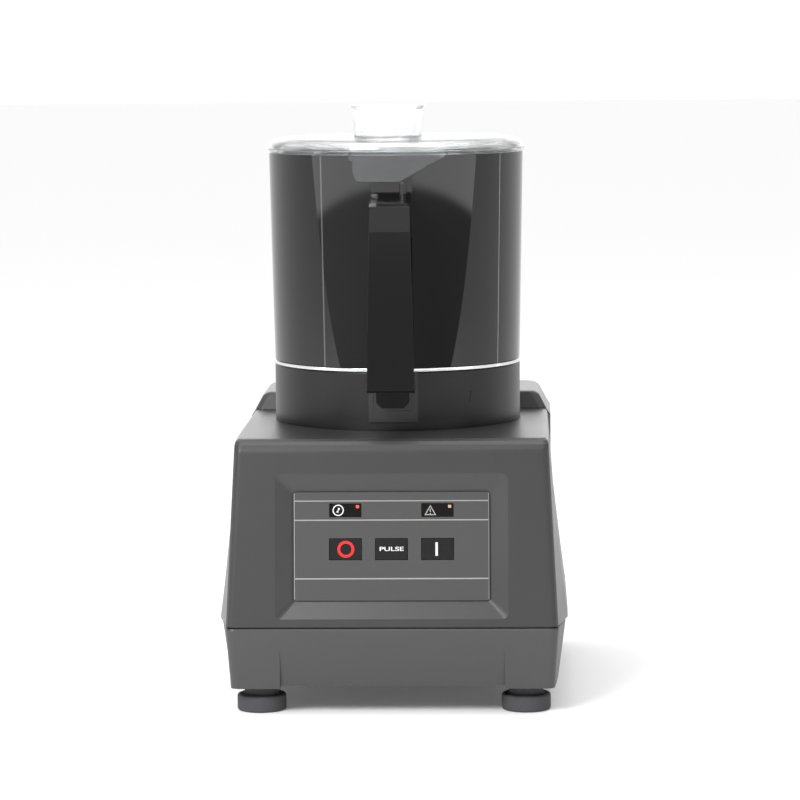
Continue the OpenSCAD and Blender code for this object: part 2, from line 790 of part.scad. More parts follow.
module base_tray() color([0.33, 0.33, 0.33]) difference() {
    union() {
        difference() {
            loft([tray_ring(tray_z - pad_drop, 0, corner_round),
                tray_ring(tray_top - seam_bevel, 0, corner_round),
                tray_ring(tray_top, seam_bevel / 2, corner_round)]);
            loft([tray_ring(tray_floor, shell_wall, corner_round - shell_wall),
                tray_ring(tray_top + overrun, shell_wall, corner_round - shell_wall)]);
            tray_reliefs();
        }
        difference() {
            lip_in = shell_wall + sliding_gap;
            loft([tray_ring(tray_top - lip_h, shell_wall - fit_gap, corner_round - shell_wall),
                tray_ring(tray_top - sliding_gap, shell_wall - fit_gap, corner_round - shell_wall),
                lip_ring(tray_top, lip_in), lip_ring(seam_z + lip_h, lip_in)]);
            loft([tray_ring(tray_top - lip_h - overrun, lip_in + lip_t, corner_round - shell_wall),
                lip_ring(seam_z + lip_h + overrun, lip_in + lip_t)]);
        }
        for (x = [-foot_x, foot_x], y = [foot_front_y, foot_rear_y])
            translate([x, y]) rod(foot_boss_r, tray_floor - overrun, foot_boss_h);
        for (x = [-housing_screw_x, housing_screw_x], y = [-housing_screw_y, housing_screw_y])
            translate([x, y]) rod(housing_post_r, tray_floor - overrun, seam_z - tray_floor + overrun);
    }
    for (x = [-foot_x, foot_x], y = [foot_front_y, foot_rear_y])
        translate([x, y]) rod(screw_r, tray_z - pad_drop - overrun, foot_boss_h);
    for (x = [-housing_screw_x, housing_screw_x], y = [-housing_screw_y, housing_screw_y])
        translate([x, y]) {
            rod(small_screw_r + fit_gap, tray_z - overrun, seam_z);
            rod(small_head_r + fit_gap, tray_z - pad_drop - overrun, pad_drop + overrun + small_head_h);
        }
    for (i = [0:vent_count - 1])
        translate([(i - (vent_count - 1) / 2) * vent_pitch, 0])
            block(vent_w, floor_vent_h, tray_z - overrun, shell_wall + 2 * overrun);
}

module foot(x, y) color([0.16, 0.16, 0.17]) translate([x, y, 0]) {
    neck_top = tray_z - pad_drop;
    rotate_extrude($fn = round_fn) polygon(concat(
        [[foot_sink_r, 0], [foot_r - foot_chamfer, 0], [foot_r, foot_chamfer]],
        arc(foot_r - foot_chamfer, foot_h - foot_chamfer, foot_chamfer, 0, 90, corner_steps),
        [[foot_neck_r, foot_h], [foot_neck_r, neck_top], [screw_r + fit_gap, neck_top],
        [screw_r + fit_gap, foot_sink_h], [foot_sink_r, foot_sink_h]]));
}

// Pan-head screw that stands on z with its thread pointing up
module screw(r, head_r, head_h, z, length) {
    translate([0, 0, z]) rotate_extrude($fn = small_fn)
        polygon(concat([[0, head_h / 4], [head_r / 3, head_h / 4], [head_r / 3, 0], [head_r * 3 / 4, 0]],
            [[head_r, head_h / 2], [head_r, head_h], [r, head_h], [r, head_h + length], [0, head_h + length]]));
}

module foot_screws() color([0.7, 0.7, 0.72])
    for (x = [-foot_x, foot_x], y = [foot_front_y, foot_rear_y])
        translate([x, y]) screw(screw_r, screw_head_r, screw_head_h, foot_sink_h - screw_head_h,
            tray_z - pad_drop - foot_sink_h + foot_boss_h - 2 * overrun);

module housing_screws() color([0.7, 0.7, 0.72])
    for (x = [-housing_screw_x, housing_screw_x], y = [-housing_screw_y, housing_screw_y])
        translate([x, y]) screw(small_screw_r, small_head_r, small_head_h, tray_z,
            seam_z - tray_z - small_head_h + thread_depth - overrun);

module keypad_overlay() color([0.36, 0.36, 0.36]) on_face() difference() {
    loft([for (z = [recess_floor, recess_floor + overlay_t])
        rect_ring(z, panel_w / 2, panel_h / 2, panel_corner)]);
    for (i = [-1:1]) translate([i * key_pitch, key_y])
        block(key_w + 2 * sliding_gap, key_h + 2 * sliding_gap, recess_floor - overrun,
            overlay_t + 2 * overrun);
    for (i = [-1, 1]) translate([i * key_pitch, lamp_y])
        block(key_w + 2 * fit_gap, lamp_h + 2 * fit_gap, recess_floor - overrun, overlay_t + 2 * overrun);
    for (share = rule_shares) translate([0, share * panel_h])
        block(panel_w - 2 * rule_w, rule_w, recess_floor + overlay_t - rule_depth, rule_depth + overrun);
}

module key(i) color([0.08, 0.08, 0.08]) on_face() translate([i * key_pitch, key_y]) {
    loft([for (z = [key_skirt_top - key_skirt_t / 2, key_top - key_proud])
            rect_ring(z, key_w / 2, key_h / 2, key_corner)]);
    loft([rect_ring(key_top - key_proud, key_w / 2, key_h / 2, key_corner),
        rect_ring(key_top, key_w / 2 - key_proud, key_h / 2 - key_proud, key_corner)]);
    block(key_w + 2 * key_skirt, key_h + 2 * key_skirt, key_skirt_top - key_skirt_t, key_skirt_t);
    rod(key_stem_r, key_stem_end, key_stem_h + key_skirt_t / 2);
}

module lamp_window(i) color([0.07, 0.07, 0.07]) on_face() translate([i * key_pitch, lamp_y])
    block(key_w, lamp_h, recess_floor, overlay_t);

module status_leds() color([0.8, 0.1, 0.1]) on_face()
    for (i = [-1, 1]) translate([i * key_pitch + led_x, lamp_y]) {
        rod(led_r, board_top, led_tip - led_r - board_top);
        translate([0, 0, led_tip - led_r]) sphere(r = led_r, $fn = small_fn);
    }

module circuit_board() color([0.1, 0.35, 0.2]) on_face() difference() {
    block(board_w, board_h, board_top - board_t, board_t);
    for (x = [-board_post_x, board_post_x], y = [-board_post_y, board_post_y])
        translate([x, y]) rod(small_screw_r + fit_gap, board_top - board_t - overrun, board_t + 2 * overrun);
}

module tact_switches() color([0.2, 0.2, 0.2]) on_face()
    for (i = [-1:1]) translate([i * key_pitch, key_y]) {
        block(switch_w, switch_w, board_top, switch_h);
        rod(plunger_r, board_top + switch_h / 2, switch_h / 2 + plunger_h);
    }

module board_screws() color([0.7, 0.7, 0.72]) on_face()
    for (x = [-board_post_x, board_post_x], y = [-board_post_y, board_post_y])
        translate([x, y]) screw(small_screw_r, small_head_r, small_head_h,
            board_top - board_t - small_head_h, board_t + small_head_r - overrun);

module bowl_seat() color([0.23, 0.22, 0.22]) difference() {
    rotate_extrude($fn = round_fn) polygon([[boss_bore, deck_inside], [spigot_r, deck_inside],
        [spigot_r, deck_z], [seat_r, deck_z], [seat_r, seat_top - seat_chamfer],
        [seat_r - seat_chamfer, seat_top], [seat_r - seat_wall, seat_top],
        [seat_r - seat_wall, seat_floor_z], [boss_r, seat_floor_z],
        [boss_r, boss_top - seat_chamfer], [boss_r - seat_chamfer, boss_top], [boss_bore, boss_top]]);
    // pocket for the keeper block and the sensor behind it
    sector(seat_r - seat_wall / 2, seat_r + overrun, keeper_low - fit_gap, keeper_high - keeper_low
        + 2 * fit_gap, -keeper_turn - fit_turn, keeper_turn + fit_turn);
    // mark where the handle points when the bowl is free
    rotate([0, 0, mark_angle]) translate([0, -seat_r, mark_z]) rotate([90, 0, 0])
        linear_extrude(2 * mark_depth, center = true)
            polygon([[-mark_w / 2, mark_h], [mark_w / 2, mark_h], [0, 0]]);
}

module keeper_block() color([0.05, 0.05, 0.05]) difference() {
    sector(seat_r - seat_wall / 2 + fit_gap, keeper_r, keeper_low, keeper_high - keeper_low,
        -keeper_turn, keeper_turn);
    // shallow landing that the tongue hangs in front of
    sector(keeper_r - keeper_wall / 3, keeper_r + overrun, tongue_z - keeper_corner,
        seat_top - tongue_z + keeper_corner, -keeper_turn * keeper_landing_share,
        keeper_turn * keeper_landing_share);
    translate([0, -sensor_seat_r, tongue_z + keeper_corner])
        rod(sensor_r + fit_gap, 0, sensor_h + 2 * fit_gap);
}

module bowl_sensor() color([0.75, 0.72, 0.6])
    translate([0, -sensor_seat_r, tongue_z + keeper_corner]) rod(sensor_r, fit_gap, sensor_h);

module shaft_seal() color([0.1, 0.1, 0.1])
    rotate_extrude($fn = round_fn) polygon([[shaft_r + running_gap, boss_top - seal_h * 3 / 4],
        [boss_bore, boss_top - seal_h], [boss_bore, boss_top],
        [shaft_r + running_gap, boss_top - seal_h / 4]]);

module motor_plate() color([0.6, 0.6, 0.62]) difference() {
    block(2 * plate_half_x, 2 * plate_half_y, plate_z, plate_t);
    rod(plate_hole_r, plate_z - overrun, plate_t + 2 * overrun, round_fn);
    for (x = [-plate_post_x, plate_post_x], y = [-plate_post_y, plate_post_y])
        translate([x, y]) rod(small_screw_r + fit_gap, plate_z - overrun, plate_t + 2 * overrun);
    bolt_places() rod(bolt_r, plate_z - overrun, plate_t + 2 * overrun);
}

module plate_screws() color([0.7, 0.7, 0.72])
    for (x = [-plate_post_x, plate_post_x], y = [-plate_post_y, plate_post_y])
        translate([x, y]) screw(small_screw_r, small_head_r, small_head_h, plate_z - small_head_h,
            plate_t + plate_drop - overrun);

module bolt_places() {
    for (i = [0:3]) rotate([0, 0, bolt_turn + 90 * i]) translate([bolt_circle, 0]) children();
}

// End cap of the motor, open in the middle for a bearing
module motor_cap(z, bearing_r, floor_low) difference() {
    union() {
        rod(motor_r, z, cap_t, round_fn);
        bolt_places() rod(ear_r, z, cap_t);
    }
    bearing_z = floor_low ? z + cap_t - bearing_h : z;
    rod(bearing_r, bearing_z, bearing_h, round_fn);
    rod(mid_shaft_r + sway_gap, z - overrun, cap_t + 2 * overrun, round_fn);
    bolt_places() rod(bolt_r + fit_gap, z - overrun, cap_t + 2 * overrun);
}

module motor_top_cap() color([0.72, 0.72, 0.74]) motor_cap(top_cap_z, upper_bearing_r, true);
module motor_bottom_cap() color([0.72, 0.72, 0.74]) motor_cap(bottom_cap_z, lower_bearing_r, false);
module motor_can() color([0.55, 0.55, 0.57]) ring(motor_r - can_t, motor_r, can_z, can_h);

module stator_core() color([0.45, 0.45, 0.47]) difference() {
    ring(stator_bore, stator_r, stator_z, stator_h);
    for (i = [0:stator_slots - 1]) rotate([0, 0, 360 * i / stator_slots]) {
        translate([stator_bore - overrun, -slot_mouth / 2, stator_z - overrun])
            cube([slot_neck + 2 * overrun, slot_mouth, stator_h + 2 * overrun]);
        translate([stator_bore + slot_neck, -slot_w / 2, stator_z - overrun])
            cube([slot_depth, slot_w, stator_h + 2 * overrun]);
    }
}

module stator_winding() color([0.72, 0.4, 0.2]) {
    inner = stator_bore + slot_neck + winding_gap;
    outer = inner + slot_depth - 2 * winding_gap;
    for (z = [stator_z - winding_gap - winding_h, stator_z + stator_h + winding_gap])
        translate([0, 0, z]) rotate_extrude($fn = round_fn)
            polygon(concat(arc(inner + winding_wall, winding_wall, winding_wall, 180, 270, corner_steps),
                arc(outer - winding_wall, winding_wall, winding_wall, 270, 360, corner_steps),
                arc(outer - winding_wall, winding_h - winding_wall, winding_wall, 0, 90, corner_steps),
                arc(inner + winding_wall, winding_h - winding_wall, winding_wall, 90, 180, corner_steps)));
    for (i = [0:stator_slots - 1]) rotate([0, 0, 360 * i / stator_slots])
        translate([inner, winding_gap - slot_w / 2, stator_z - winding_gap - winding_wall])
            cube([outer - inner, slot_w - 2 * winding_gap, stator_h + 2 * (winding_gap + winding_wall)]);
}

// Shielded ball bearing
module bearing(r_in, r_out, z) color([0.8, 0.8, 0.82]) {
    step_in = r_in + (r_out - r_in) * (1 - shield_r_share);
    step_out = r_in + (r_out - r_in) * shield_r_share;
    rotate_extrude($fn = round_fn) polygon([[r_in, z], [step_in, z], [step_in, z + shield_depth],
        [step_out, z + shield_depth], [step_out, z], [r_out, z], [r_out, z + bearing_h],
        [step_out, z + bearing_h], [step_out, z + bearing_h - shield_depth],
        [step_in, z + bearing_h - shield_depth], [step_in, z + bearing_h], [r_in, z + bearing_h]]);
}

module upper_bearing() bearing(shaft_r + running_gap, upper_bearing_r, top_cap_z + cap_t - bearing_h);
module lower_bearing() bearing(lower_shaft_r + running_gap, lower_bearing_r, bottom_cap_z);

module motor_bolts() color([0.7, 0.7, 0.72]) bolt_places()
    screw(bolt_r, small_head_r + overrun, small_head_h, bottom_cap_z - small_head_h,
        plate_top - bottom_cap_z - fit_gap);

module run_capacitor() color([0.75, 0.75, 0.77])
    translate([capacitor_x, capacitor_y, tray_floor + clip_t + capacitor_r]) rotate([0, 90, 0])
        translate([0, 0, -capacitor_l / 2]) rotate_extrude($fn = round_fn)
            polygon([[0, 0], [capacitor_r - clip_t, 0], [capacitor_r, clip_t],
                [capacitor_r, capacitor_l - clip_t], [capacitor_r - clip_t, capacitor_l],
                [capacitor_r / 2, capacitor_l], [capacitor_r / 2, capacitor_l + 3 * clip_t],
                [0, capacitor_l + 3 * clip_t]]);

module capacitor_clip() color([0.6, 0.6, 0.62])
    for (x = [-clip_pitch / 2, clip_pitch / 2]) translate([capacitor_x + x, capacitor_y, tray_floor])
        difference() {
            union() {
                translate([-clip_w / 2, -capacitor_r - 3 * clip_t, 0])
                    cube([clip_w, 2 * capacitor_r + 6 * clip_t, clip_t]);
                translate([-clip_w / 2, 0, clip_t + capacitor_r]) rotate([0, 90, 0])
                    cylinder(r = capacitor_r + clip_t, h = clip_w, $fn = round_fn);
            }
            translate([-clip_w / 2 - overrun, 0, clip_t + capacitor_r]) rotate([0, 90, 0])
                cylinder(r = capacitor_r, h = clip_w + 2 * overrun, $fn = round_fn);
            translate([-clip_w / 2 - overrun, -capacitor_r / 3, clip_t + capacitor_r])
                cube([clip_w + 2 * overrun, 2 * capacitor_r / 3, capacitor_r + clip_t + overrun]);
        }

module terminal_block() color([0.85, 0.84, 0.8]) translate([block_x, block_y]) difference() {
    union() {
        block(block_l, block_w, tray_floor, block_h * 2 / 3);
        block(block_l, block_w / 2, tray_floor, block_h);
    }
    for (i = [0:block_ways - 1]) translate([(i - (block_ways - 1) / 2) * block_l / block_ways, 0])
        rod(small_screw_r, tray_floor + block_h / 3, block_h);
}

// Cable inlet in the back wall, without a cord
module cable_gland() color([0.1, 0.1, 0.1])
    translate([gland_x, rear_reach, gland_z]) rotate([-90, 0, 0]) difference() {
        wall_y = rear_at(gland_z - gland_r) - rear_reach;
        inside_y = rear_at(gland_z + gland_r) - rear_reach - shell_wall;
        union() {
            rod(gland_body_r, wall_y - gland_in, gland_in + gland_out - wall_y);
            rotate_extrude($fn = round_fn) polygon([[0, wall_y], [gland_r, wall_y],
                [gland_r, wall_y + gland_nut_h], [gland_r - seam_bevel, gland_out - seam_bevel],
                [gland_bore + seam_bevel, gland_out], [0, gland_out]]);
            rod(gland_r, inside_y - gland_nut_h, gland_nut_h - fit_gap, nut_sides);
        }
        rod(gland_bore, wall_y - gland_in - overrun, gland_in + gland_out - wall_y + 2 * overrun);
    }

// Stepped shaft with two flats at its top end
module drive_shaft() color([0.78, 0.78, 0.8]) union() {
    rotate_extrude($fn = round_fn) polygon([[0, shaft_foot], [lower_shaft_r - overrun, shaft_foot],
        [lower_shaft_r, shaft_foot + overrun], [lower_shaft_r, bottom_cap_z + bearing_h + fit_gap],
        [mid_shaft_r, bottom_cap_z + bearing_h + fit_gap], [mid_shaft_r, top_cap_z], [shaft_r, top_cap_z],
        [shaft_r, hub_shoulder], [0, hub_shoulder]]);
    intersection() {
        rod(drive_r, hub_shoulder - overrun, shaft_top - hub_shoulder + overrun, round_fn);
        block(2 * flat_half, 2 * shaft_r, hub_shoulder - overrun, shaft_top - hub_shoulder + overrun);
    }
}

module rotor_core() color([0.5, 0.5, 0.52]) {
    ring(mid_shaft_r, rotor_r, rotor_z, rotor_h);
    for (z = [rotor_z - end_ring_h, rotor_z + rotor_h])
        ring(rotor_r - slot_w, rotor_r - overrun, z, end_ring_h);
}

module cooling_fan() color([0.12, 0.12, 0.12]) difference() {
    union() {
        rod(fan_hub_r, fan_z, fan_h, round_fn);
        intersection() {
            rod(fan_r, fan_z, fan_h, round_fn);
            for (i = [0:fan_blades - 1]) rotate([0, 0, 360 * i / fan_blades])
                translate([fan_hub_r - overrun, 0, fan_z + fan_h / 2]) rotate([fan_tilt, 0, 0])
                    translate([0, -fan_blade_t / 2, -fan_h]) cube([fan_r, fan_blade_t, 2 * fan_h]);
        }
    }
    rod(lower_shaft_r, fan_z - overrun, fan_h + 2 * overrun, round_fn);
}

module knife_hub() color([0.8, 0.8, 0.78]) difference() {
    rotate_extrude($fn = round_fn) polygon([[hub_bore, hub_low], [hub_flange_r, hub_low],
        [hub_flange_r, lower_blade_z], [hub_r, lower_blade_z], [hub_r, hub_top - cap_round],
        [hub_r - cap_round, hub_top], [0, hub_top], [0, hub_shoulder + fit_gap],
        [hub_bore, hub_shoulder + fit_gap]]);
    intersection() {
        rod(drive_r + fit_gap, hub_shoulder - overrun, shaft_top + 2 * fit_gap - hub_shoulder + overrun,
            round_fn);
        block(2 * (flat_half + fit_gap), 4 * shaft_r, hub_shoulder - overrun,
            shaft_top + 2 * fit_gap - hub_shoulder + overrun);
    }
}

// One edge of a sickle blade: s runs from root to tip, side is +1 at the cutting edge
function blade_point(s, side, thin_share) =
    let (r = blade_root + (blade_reach - blade_root) * s, a = -blade_sweep * s * s,
        along = a - atan(r * 2 * s * blade_sweep * PI / 180 / (blade_reach - blade_root)),
        half = blade_root_half + (blade_tip_half - blade_root_half) * s)
    [r * cos(a) - side * half * (1 - thin_share) * sin(along),
        r * sin(a) + side * half * (1 - thin_share) * cos(along)];

function blade_outline(z, thin_share) = [for (p = concat(
    [for (i = [0:blade_steps]) blade_point(i / blade_steps, -1, 0)],
    [for (i = [blade_steps:-1:0]) blade_point(i / blade_steps, 1, thin_share)])) [p[0], p[1], z]];

module blade(z, turn) color([0.85, 0.85, 0.87]) rotate([0, 0, turn]) difference() {
    union() {
        rod(ring_r, z, blade_t, round_fn);
        loft([blade_outline(z, 0), blade_outline(z + blade_t / 4, 0),
            blade_outline(z + blade_t, bevel_share)], true);
    }
    rod(blade_bore, z - overrun, blade_t + 2 * overrun, round_fn);
}

module lower_blade() blade(lower_blade_z, knife_turn);
module upper_blade() blade(upper_blade_z, knife_turn + 180);
module blade_spacer() color([0.8, 0.8, 0.78]) ring(blade_bore, hub_flange_r, spacer_z, blade_gap);

module blade_nut() color([0.7, 0.7, 0.72]) difference() {
    rod(ring_r, nut_z, nut_h, nut_flats);
    rod(blade_bore, nut_z - overrun, nut_h + 2 * overrun, round_fn);
}

module hub_cap() color([0.08, 0.08, 0.08]) difference() {
    rotate_extrude($fn = round_fn) polygon(concat([[0, hub_top], [cap_r, hub_top]],
        arc(cap_r - cap_round, hub_top + cap_h - cap_round, cap_round, 0, 90, corner_steps),
        [[0, hub_top + cap_h]]));
    for (i = [0:cap_flutes - 1]) rotate([0, 0, 360 * i / cap_flutes])
        translate([cap_r + flute_r / 2, 0]) rod(flute_r, hub_top - overrun, cap_h + 2 * overrun);
}

module bowl_foot_ring() color([0.85, 0.85, 0.86]) difference() {
    ring(ring_in, ring_out, seat_top, ring_h);
    for (side = [-1, 1]) translate([side * ring_out, 0])
        block(2 * ring_notch_d, ring_notch_w, seat_top - overrun, ring_h + 2 * overrun);
}

// Outer radius of the bowl's wall at height z
function wall_at(z) = bowl_foot_r + (bowl_r - bowl_foot_r) * (z - bowl_z) / (rim_z - rim_chamfer - bowl_z);

// Floor of the bowl up to the top of its fillet, with the skirt that centres it in the collar
module bowl_floor() color([0.1, 0.1, 0.1]) rotate_extrude($fn = round_fn) polygon(concat(
    [[chimney_bore, bowl_z], [skirt_r - bowl_wall, bowl_z], [skirt_r - bowl_wall, bowl_z - skirt_drop],
    [skirt_r, bowl_z - skirt_drop], [skirt_r, bowl_z], [bowl_foot_r, bowl_z],
    [wall_at(wall_foot_z), wall_foot_z]],
    arc(inner_foot_r - bowl_fillet, floor_z + bowl_fillet, bowl_fillet, 0, -90, arc_steps),
    arc(chimney_r + chimney_fillet, floor_z + chimney_fillet, chimney_fillet, 270, 180, arc_steps),
    [[chimney_bore, floor_z + chimney_fillet]]));

module bowl_chimney() color([0.1, 0.1, 0.1]) rotate_extrude($fn = round_fn)
    polygon([[chimney_bore, floor_z + chimney_fillet], [chimney_r, floor_z + chimney_fillet],
        [chimney_r, chimney_top - seat_chamfer], [chimney_r - seat_chamfer, chimney_top],
        [chimney_bore, chimney_top]]);

// Wall of the bowl, which stands on its floor
module bowl() color([0.1, 0.1, 0.1]) difference() {
    union() {
        rotate_extrude($fn = round_fn) polygon([[wall_at(wall_foot_z), wall_foot_z],
            [bowl_r, rim_z - rim_chamfer], [bowl_r - rim_chamfer, rim_z], [inner_rim_r, rim_z],
            [inner_foot_r, wall_foot_z]]);
        // pad on the wall above the handle, behind the lid's tab
        difference() {
            intersection() {
                rod(bowl_r + wall_pad_proud, wall_pad_low, wall_pad_high - wall_pad_low, round_fn);
                translate([-wall_pad_w / 2, -2 * bowl_r, 0]) cube([wall_pad_w, 2 * bowl_r, rim_z]);
            }
            rod(bowl_r - bowl_wall / 2, wall_pad_low - overrun, rim_z, round_fn);
        }
        // bosses that the handle is screwed to
        for (z = [handle_screw_low, handle_screw_high]) translate([boss_pad_x, 0, z]) rotate([90, 0, 0])
            rod(boss_pad_r, boss_reach_in, boss_reach - boss_reach_in);
    }
    for (z = [handle_screw_low, handle_screw_high]) translate([boss_pad_x, 0, z]) rotate([90, 0, 0])
        rod(small_screw_r, boss_reach_in + bowl_wall / 2, boss_reach);
}

boss_proud = 2;
boss_reach = bowl_r + boss_proud;
boss_reach_in = inner_foot_r + bowl_wall / 3;

// Side profile of the whole handle, as distance from the axis and height
module handle_profile() difference() {
    polygon([[bowl_foot_r - bowl_wall, channel_top], [channel_front - 2 * grip_edge, channel_top],
        [grip_top_reach, grip_top_z], [grip_reach, facet_z], [grip_foot_reach, grip_foot_z + grip_edge],
        [grip_foot_reach - grip_edge, grip_foot_z], [channel_front, grip_foot_z],
        [channel_front, tongue_z], [bowl_foot_r - bowl_wall, tongue_z]]);
    polygon(concat(
        [[channel_front, gap_foot + grip_edge], [channel_front + grip_edge, gap_foot],
        [grip_inner - 2 * grip_edge, gap_foot], [grip_inner - grip_edge / 2, gap_foot + 2 * grip_edge]],
        [[grip_inner, gap_top_outer - 2 * grip_edge], [grip_inner - 2 * grip_edge, gap_top_outer],
        [channel_front + grip_edge, gap_top_inner], [channel_front, gap_top_inner - grip_edge]]));
}

// Turns a profile of distance and height into a slab of width w across the front
module across(w) {
    rotate([90, 0, -90]) linear_extrude(w, center = true) children();
}

// The handle's outside: profile, front view and plan cut each other
module handle_form() intersection() {
    across(2 * grip_foot_w) handle_profile();
    translate([0, -bowl_foot_r / 2, 0]) rotate([90, 0, 0]) linear_extrude(grip_reach)
        polygon([[-grip_top_w / 2, channel_top + overrun], [-grip_top_w / 2, grip_top_z],
            [-grip_foot_w / 2, grip_foot_z], [-tongue_w / 2 - tongue_corner, grip_foot_z],
            [-tongue_w / 2, grip_foot_z - tongue_corner / 2],
            [-tongue_w / 2, tongue_z + tongue_corner], [tongue_corner - tongue_w / 2, tongue_z],
            [tongue_w / 2 - tongue_corner, tongue_z], [tongue_w / 2, tongue_z + tongue_corner],
            [tongue_w / 2, grip_foot_z - tongue_corner / 2], [tongue_w / 2 + tongue_corner, grip_foot_z],
            [grip_foot_w / 2, grip_foot_z], [grip_top_w / 2, grip_top_z],
            [grip_top_w / 2, channel_top + overrun]]);
    linear_extrude(rim_z) polygon([[-grip_foot_w / 2, 0], [-channel_w / 2, -channel_front],
        [-grip_foot_w / 2, -grip_inner], [-grip_foot_w / 2, grip_edge - grip_reach],
        [grip_edge - grip_foot_w / 2, -grip_reach], [grip_foot_w / 2 - grip_edge, -grip_reach],
        [grip_foot_w / 2, grip_edge - grip_reach], [grip_foot_w / 2, -grip_inner],
        [channel_w / 2, -channel_front], [grip_foot_w / 2, 0]]);
}

// Front skin of the handle, from the foot of the grip to its sloped top
module cover_profile(gap) {
    polygon([[grip_top_reach - 3 * cover_t - gap, grip_top_z + 3 * cover_t], [grip_top_reach + overrun,
        grip_top_z + 3 * cover_t], [grip_reach + overrun, facet_z], [grip_reach + overrun,
        grip_foot_z - overrun], [grip_foot_reach - cover_t - gap, grip_foot_z - overrun],
        [grip_reach - cover_t - gap, facet_z - cover_t], [grip_top_reach - cover_t - gap,
        grip_top_z - cover_t / 2]]);
}

module handle_grip() color([0.08, 0.08, 0.08]) difference() {
    handle_form();
    across(2 * grip_foot_w) cover_profile(cover_gap);
    // the back follows the bowl, and stands off the collar below it
    translate([0, 0, bowl_z - overrun]) cylinder(r1 = bowl_foot_r + channel_back_gap,
        r2 = bowl_r + channel_back_gap, h = bowl_h + overrun, $fn = round_fn);
    rod(tongue_back, 0, tongue_top, round_fn);
    translate([rod_x, rod_y]) {
        rod(rod_bore, spring_low, rim_z - spring_low);
        rod(spring_bore, spring_low, spring_len + rod_collar_h + rod_travel + 2 * sliding_gap);
        rod(magnet_bore, tongue_z + tongue_floor, spring_low - tongue_z);
    }
    for (z = [handle_screw_low, handle_screw_high]) translate([boss_pad_x, 0, z]) rotate([90, 0, 0]) {
        rod(boss_pad_r + fit_gap, 0, boss_reach + fit_gap);
        rod(small_screw_r + fit_gap, boss_reach, handle_screw_len);
        rod(small_head_r + fit_gap, channel_front - small_head_h, 2 * small_head_h);
    }
}

module handle_cover() color([0.06, 0.06, 0.06]) intersection() {
    handle_form();
    across(2 * grip_foot_w) cover_profile(0);
}

module handle_screws() color([0.7, 0.7, 0.72])
    for (z = [handle_screw_low, handle_screw_high]) translate([boss_pad_x, 0, z]) rotate([90, 0, 0])
        translate([0, 0, channel_front]) mirror([0, 0, 1])
            screw(small_screw_r, small_head_r, small_head_h, 0, handle_screw_len - overrun);

module interlock_rod() color([0.75, 0.75, 0.77]) translate([rod_x, rod_y]) {
    rotate_extrude($fn = small_fn) polygon([[0, rod_low], [rod_r, rod_low],
        [rod_r, spring_low + spring_len], [spring_r, spring_low + spring_len],
        [spring_r, spring_low + spring_len + rod_collar_h], [rod_r, spring_low + spring_len + rod_collar_h],
        [rod_r, rod_top - rod_r / 3], [rod_r * 2 / 3, rod_top], [0, rod_top]]);
}

module rod_magnet() color([0.3, 0.3, 0.32])
    translate([rod_x, rod_y]) rod(magnet_r, rod_low - magnet_h, magnet_h);

// Compression spring round the rod, one unbroken coil
module rod_spring() color([0.7, 0.7, 0.72]) translate([rod_x, rod_y, spring_low]) {
    steps = spring_turns * spring_steps;
    mean = spring_r - spring_wire;
    rise = spring_len - 2 * spring_wire;
    loft([for (i = [0:steps]) let (a = 360 * spring_turns * i / steps)
        [for (k = [0:spring_sides - 1]) let (b = -360 * k / spring_sides,
                r = mean + spring_wire * cos(b))
            [r * cos(a), r * sin(a), spring_wire + rise * i / steps + spring_wire * sin(b)]]]);
}

// Height of the tab's lower edge at an angle from the front
function tab_edge(turn) =
    let (flat = ramp_start - tab_start, s = (turn - tab_start) / (flat * tab_corner_share),
        corner = flat * tab_corner_share * PI / 180 * tab_out)
    turn > ramp_start ? tab_z + ramp_rise * (turn - ramp_start) / ramp_angle
    : s < 1 ? tab_z + corner * (1 - sqrt(max(0, 1 - (1 - s) * (1 - s)))) : tab_z;

// Plate of the tab: its lower edge is flat over the rod, then climbs as a helix
module tab_plate() {
    flat = ramp_start - tab_start;
    turns = concat([for (i = [0:corner_points]) tab_start + flat * tab_corner_share * i / corner_points],
        [for (i = [1:flat_points]) tab_start + flat * (tab_corner_share
            + (1 - tab_corner_share) * i / (flat_points + 1))],
        [for (i = [0:ramp_steps - 1]) ramp_start + ramp_angle * i / ramp_steps],
        [ramp_start + ramp_angle * (1 - tab_corner_share / ramp_steps)]);
    loft([for (turn = turns) let (x = sin(turn), y = -cos(turn), top = rim_z + shelf_top_h / 2,
            near = tab_in + panel_gap, far = tab_out - panel_gap)
        [[near * x, near * y, tab_edge(turn)], [near * x, near * y, top],
        [far * x, far * y, top], [far * x, far * y, tab_edge(turn)]]]);
}

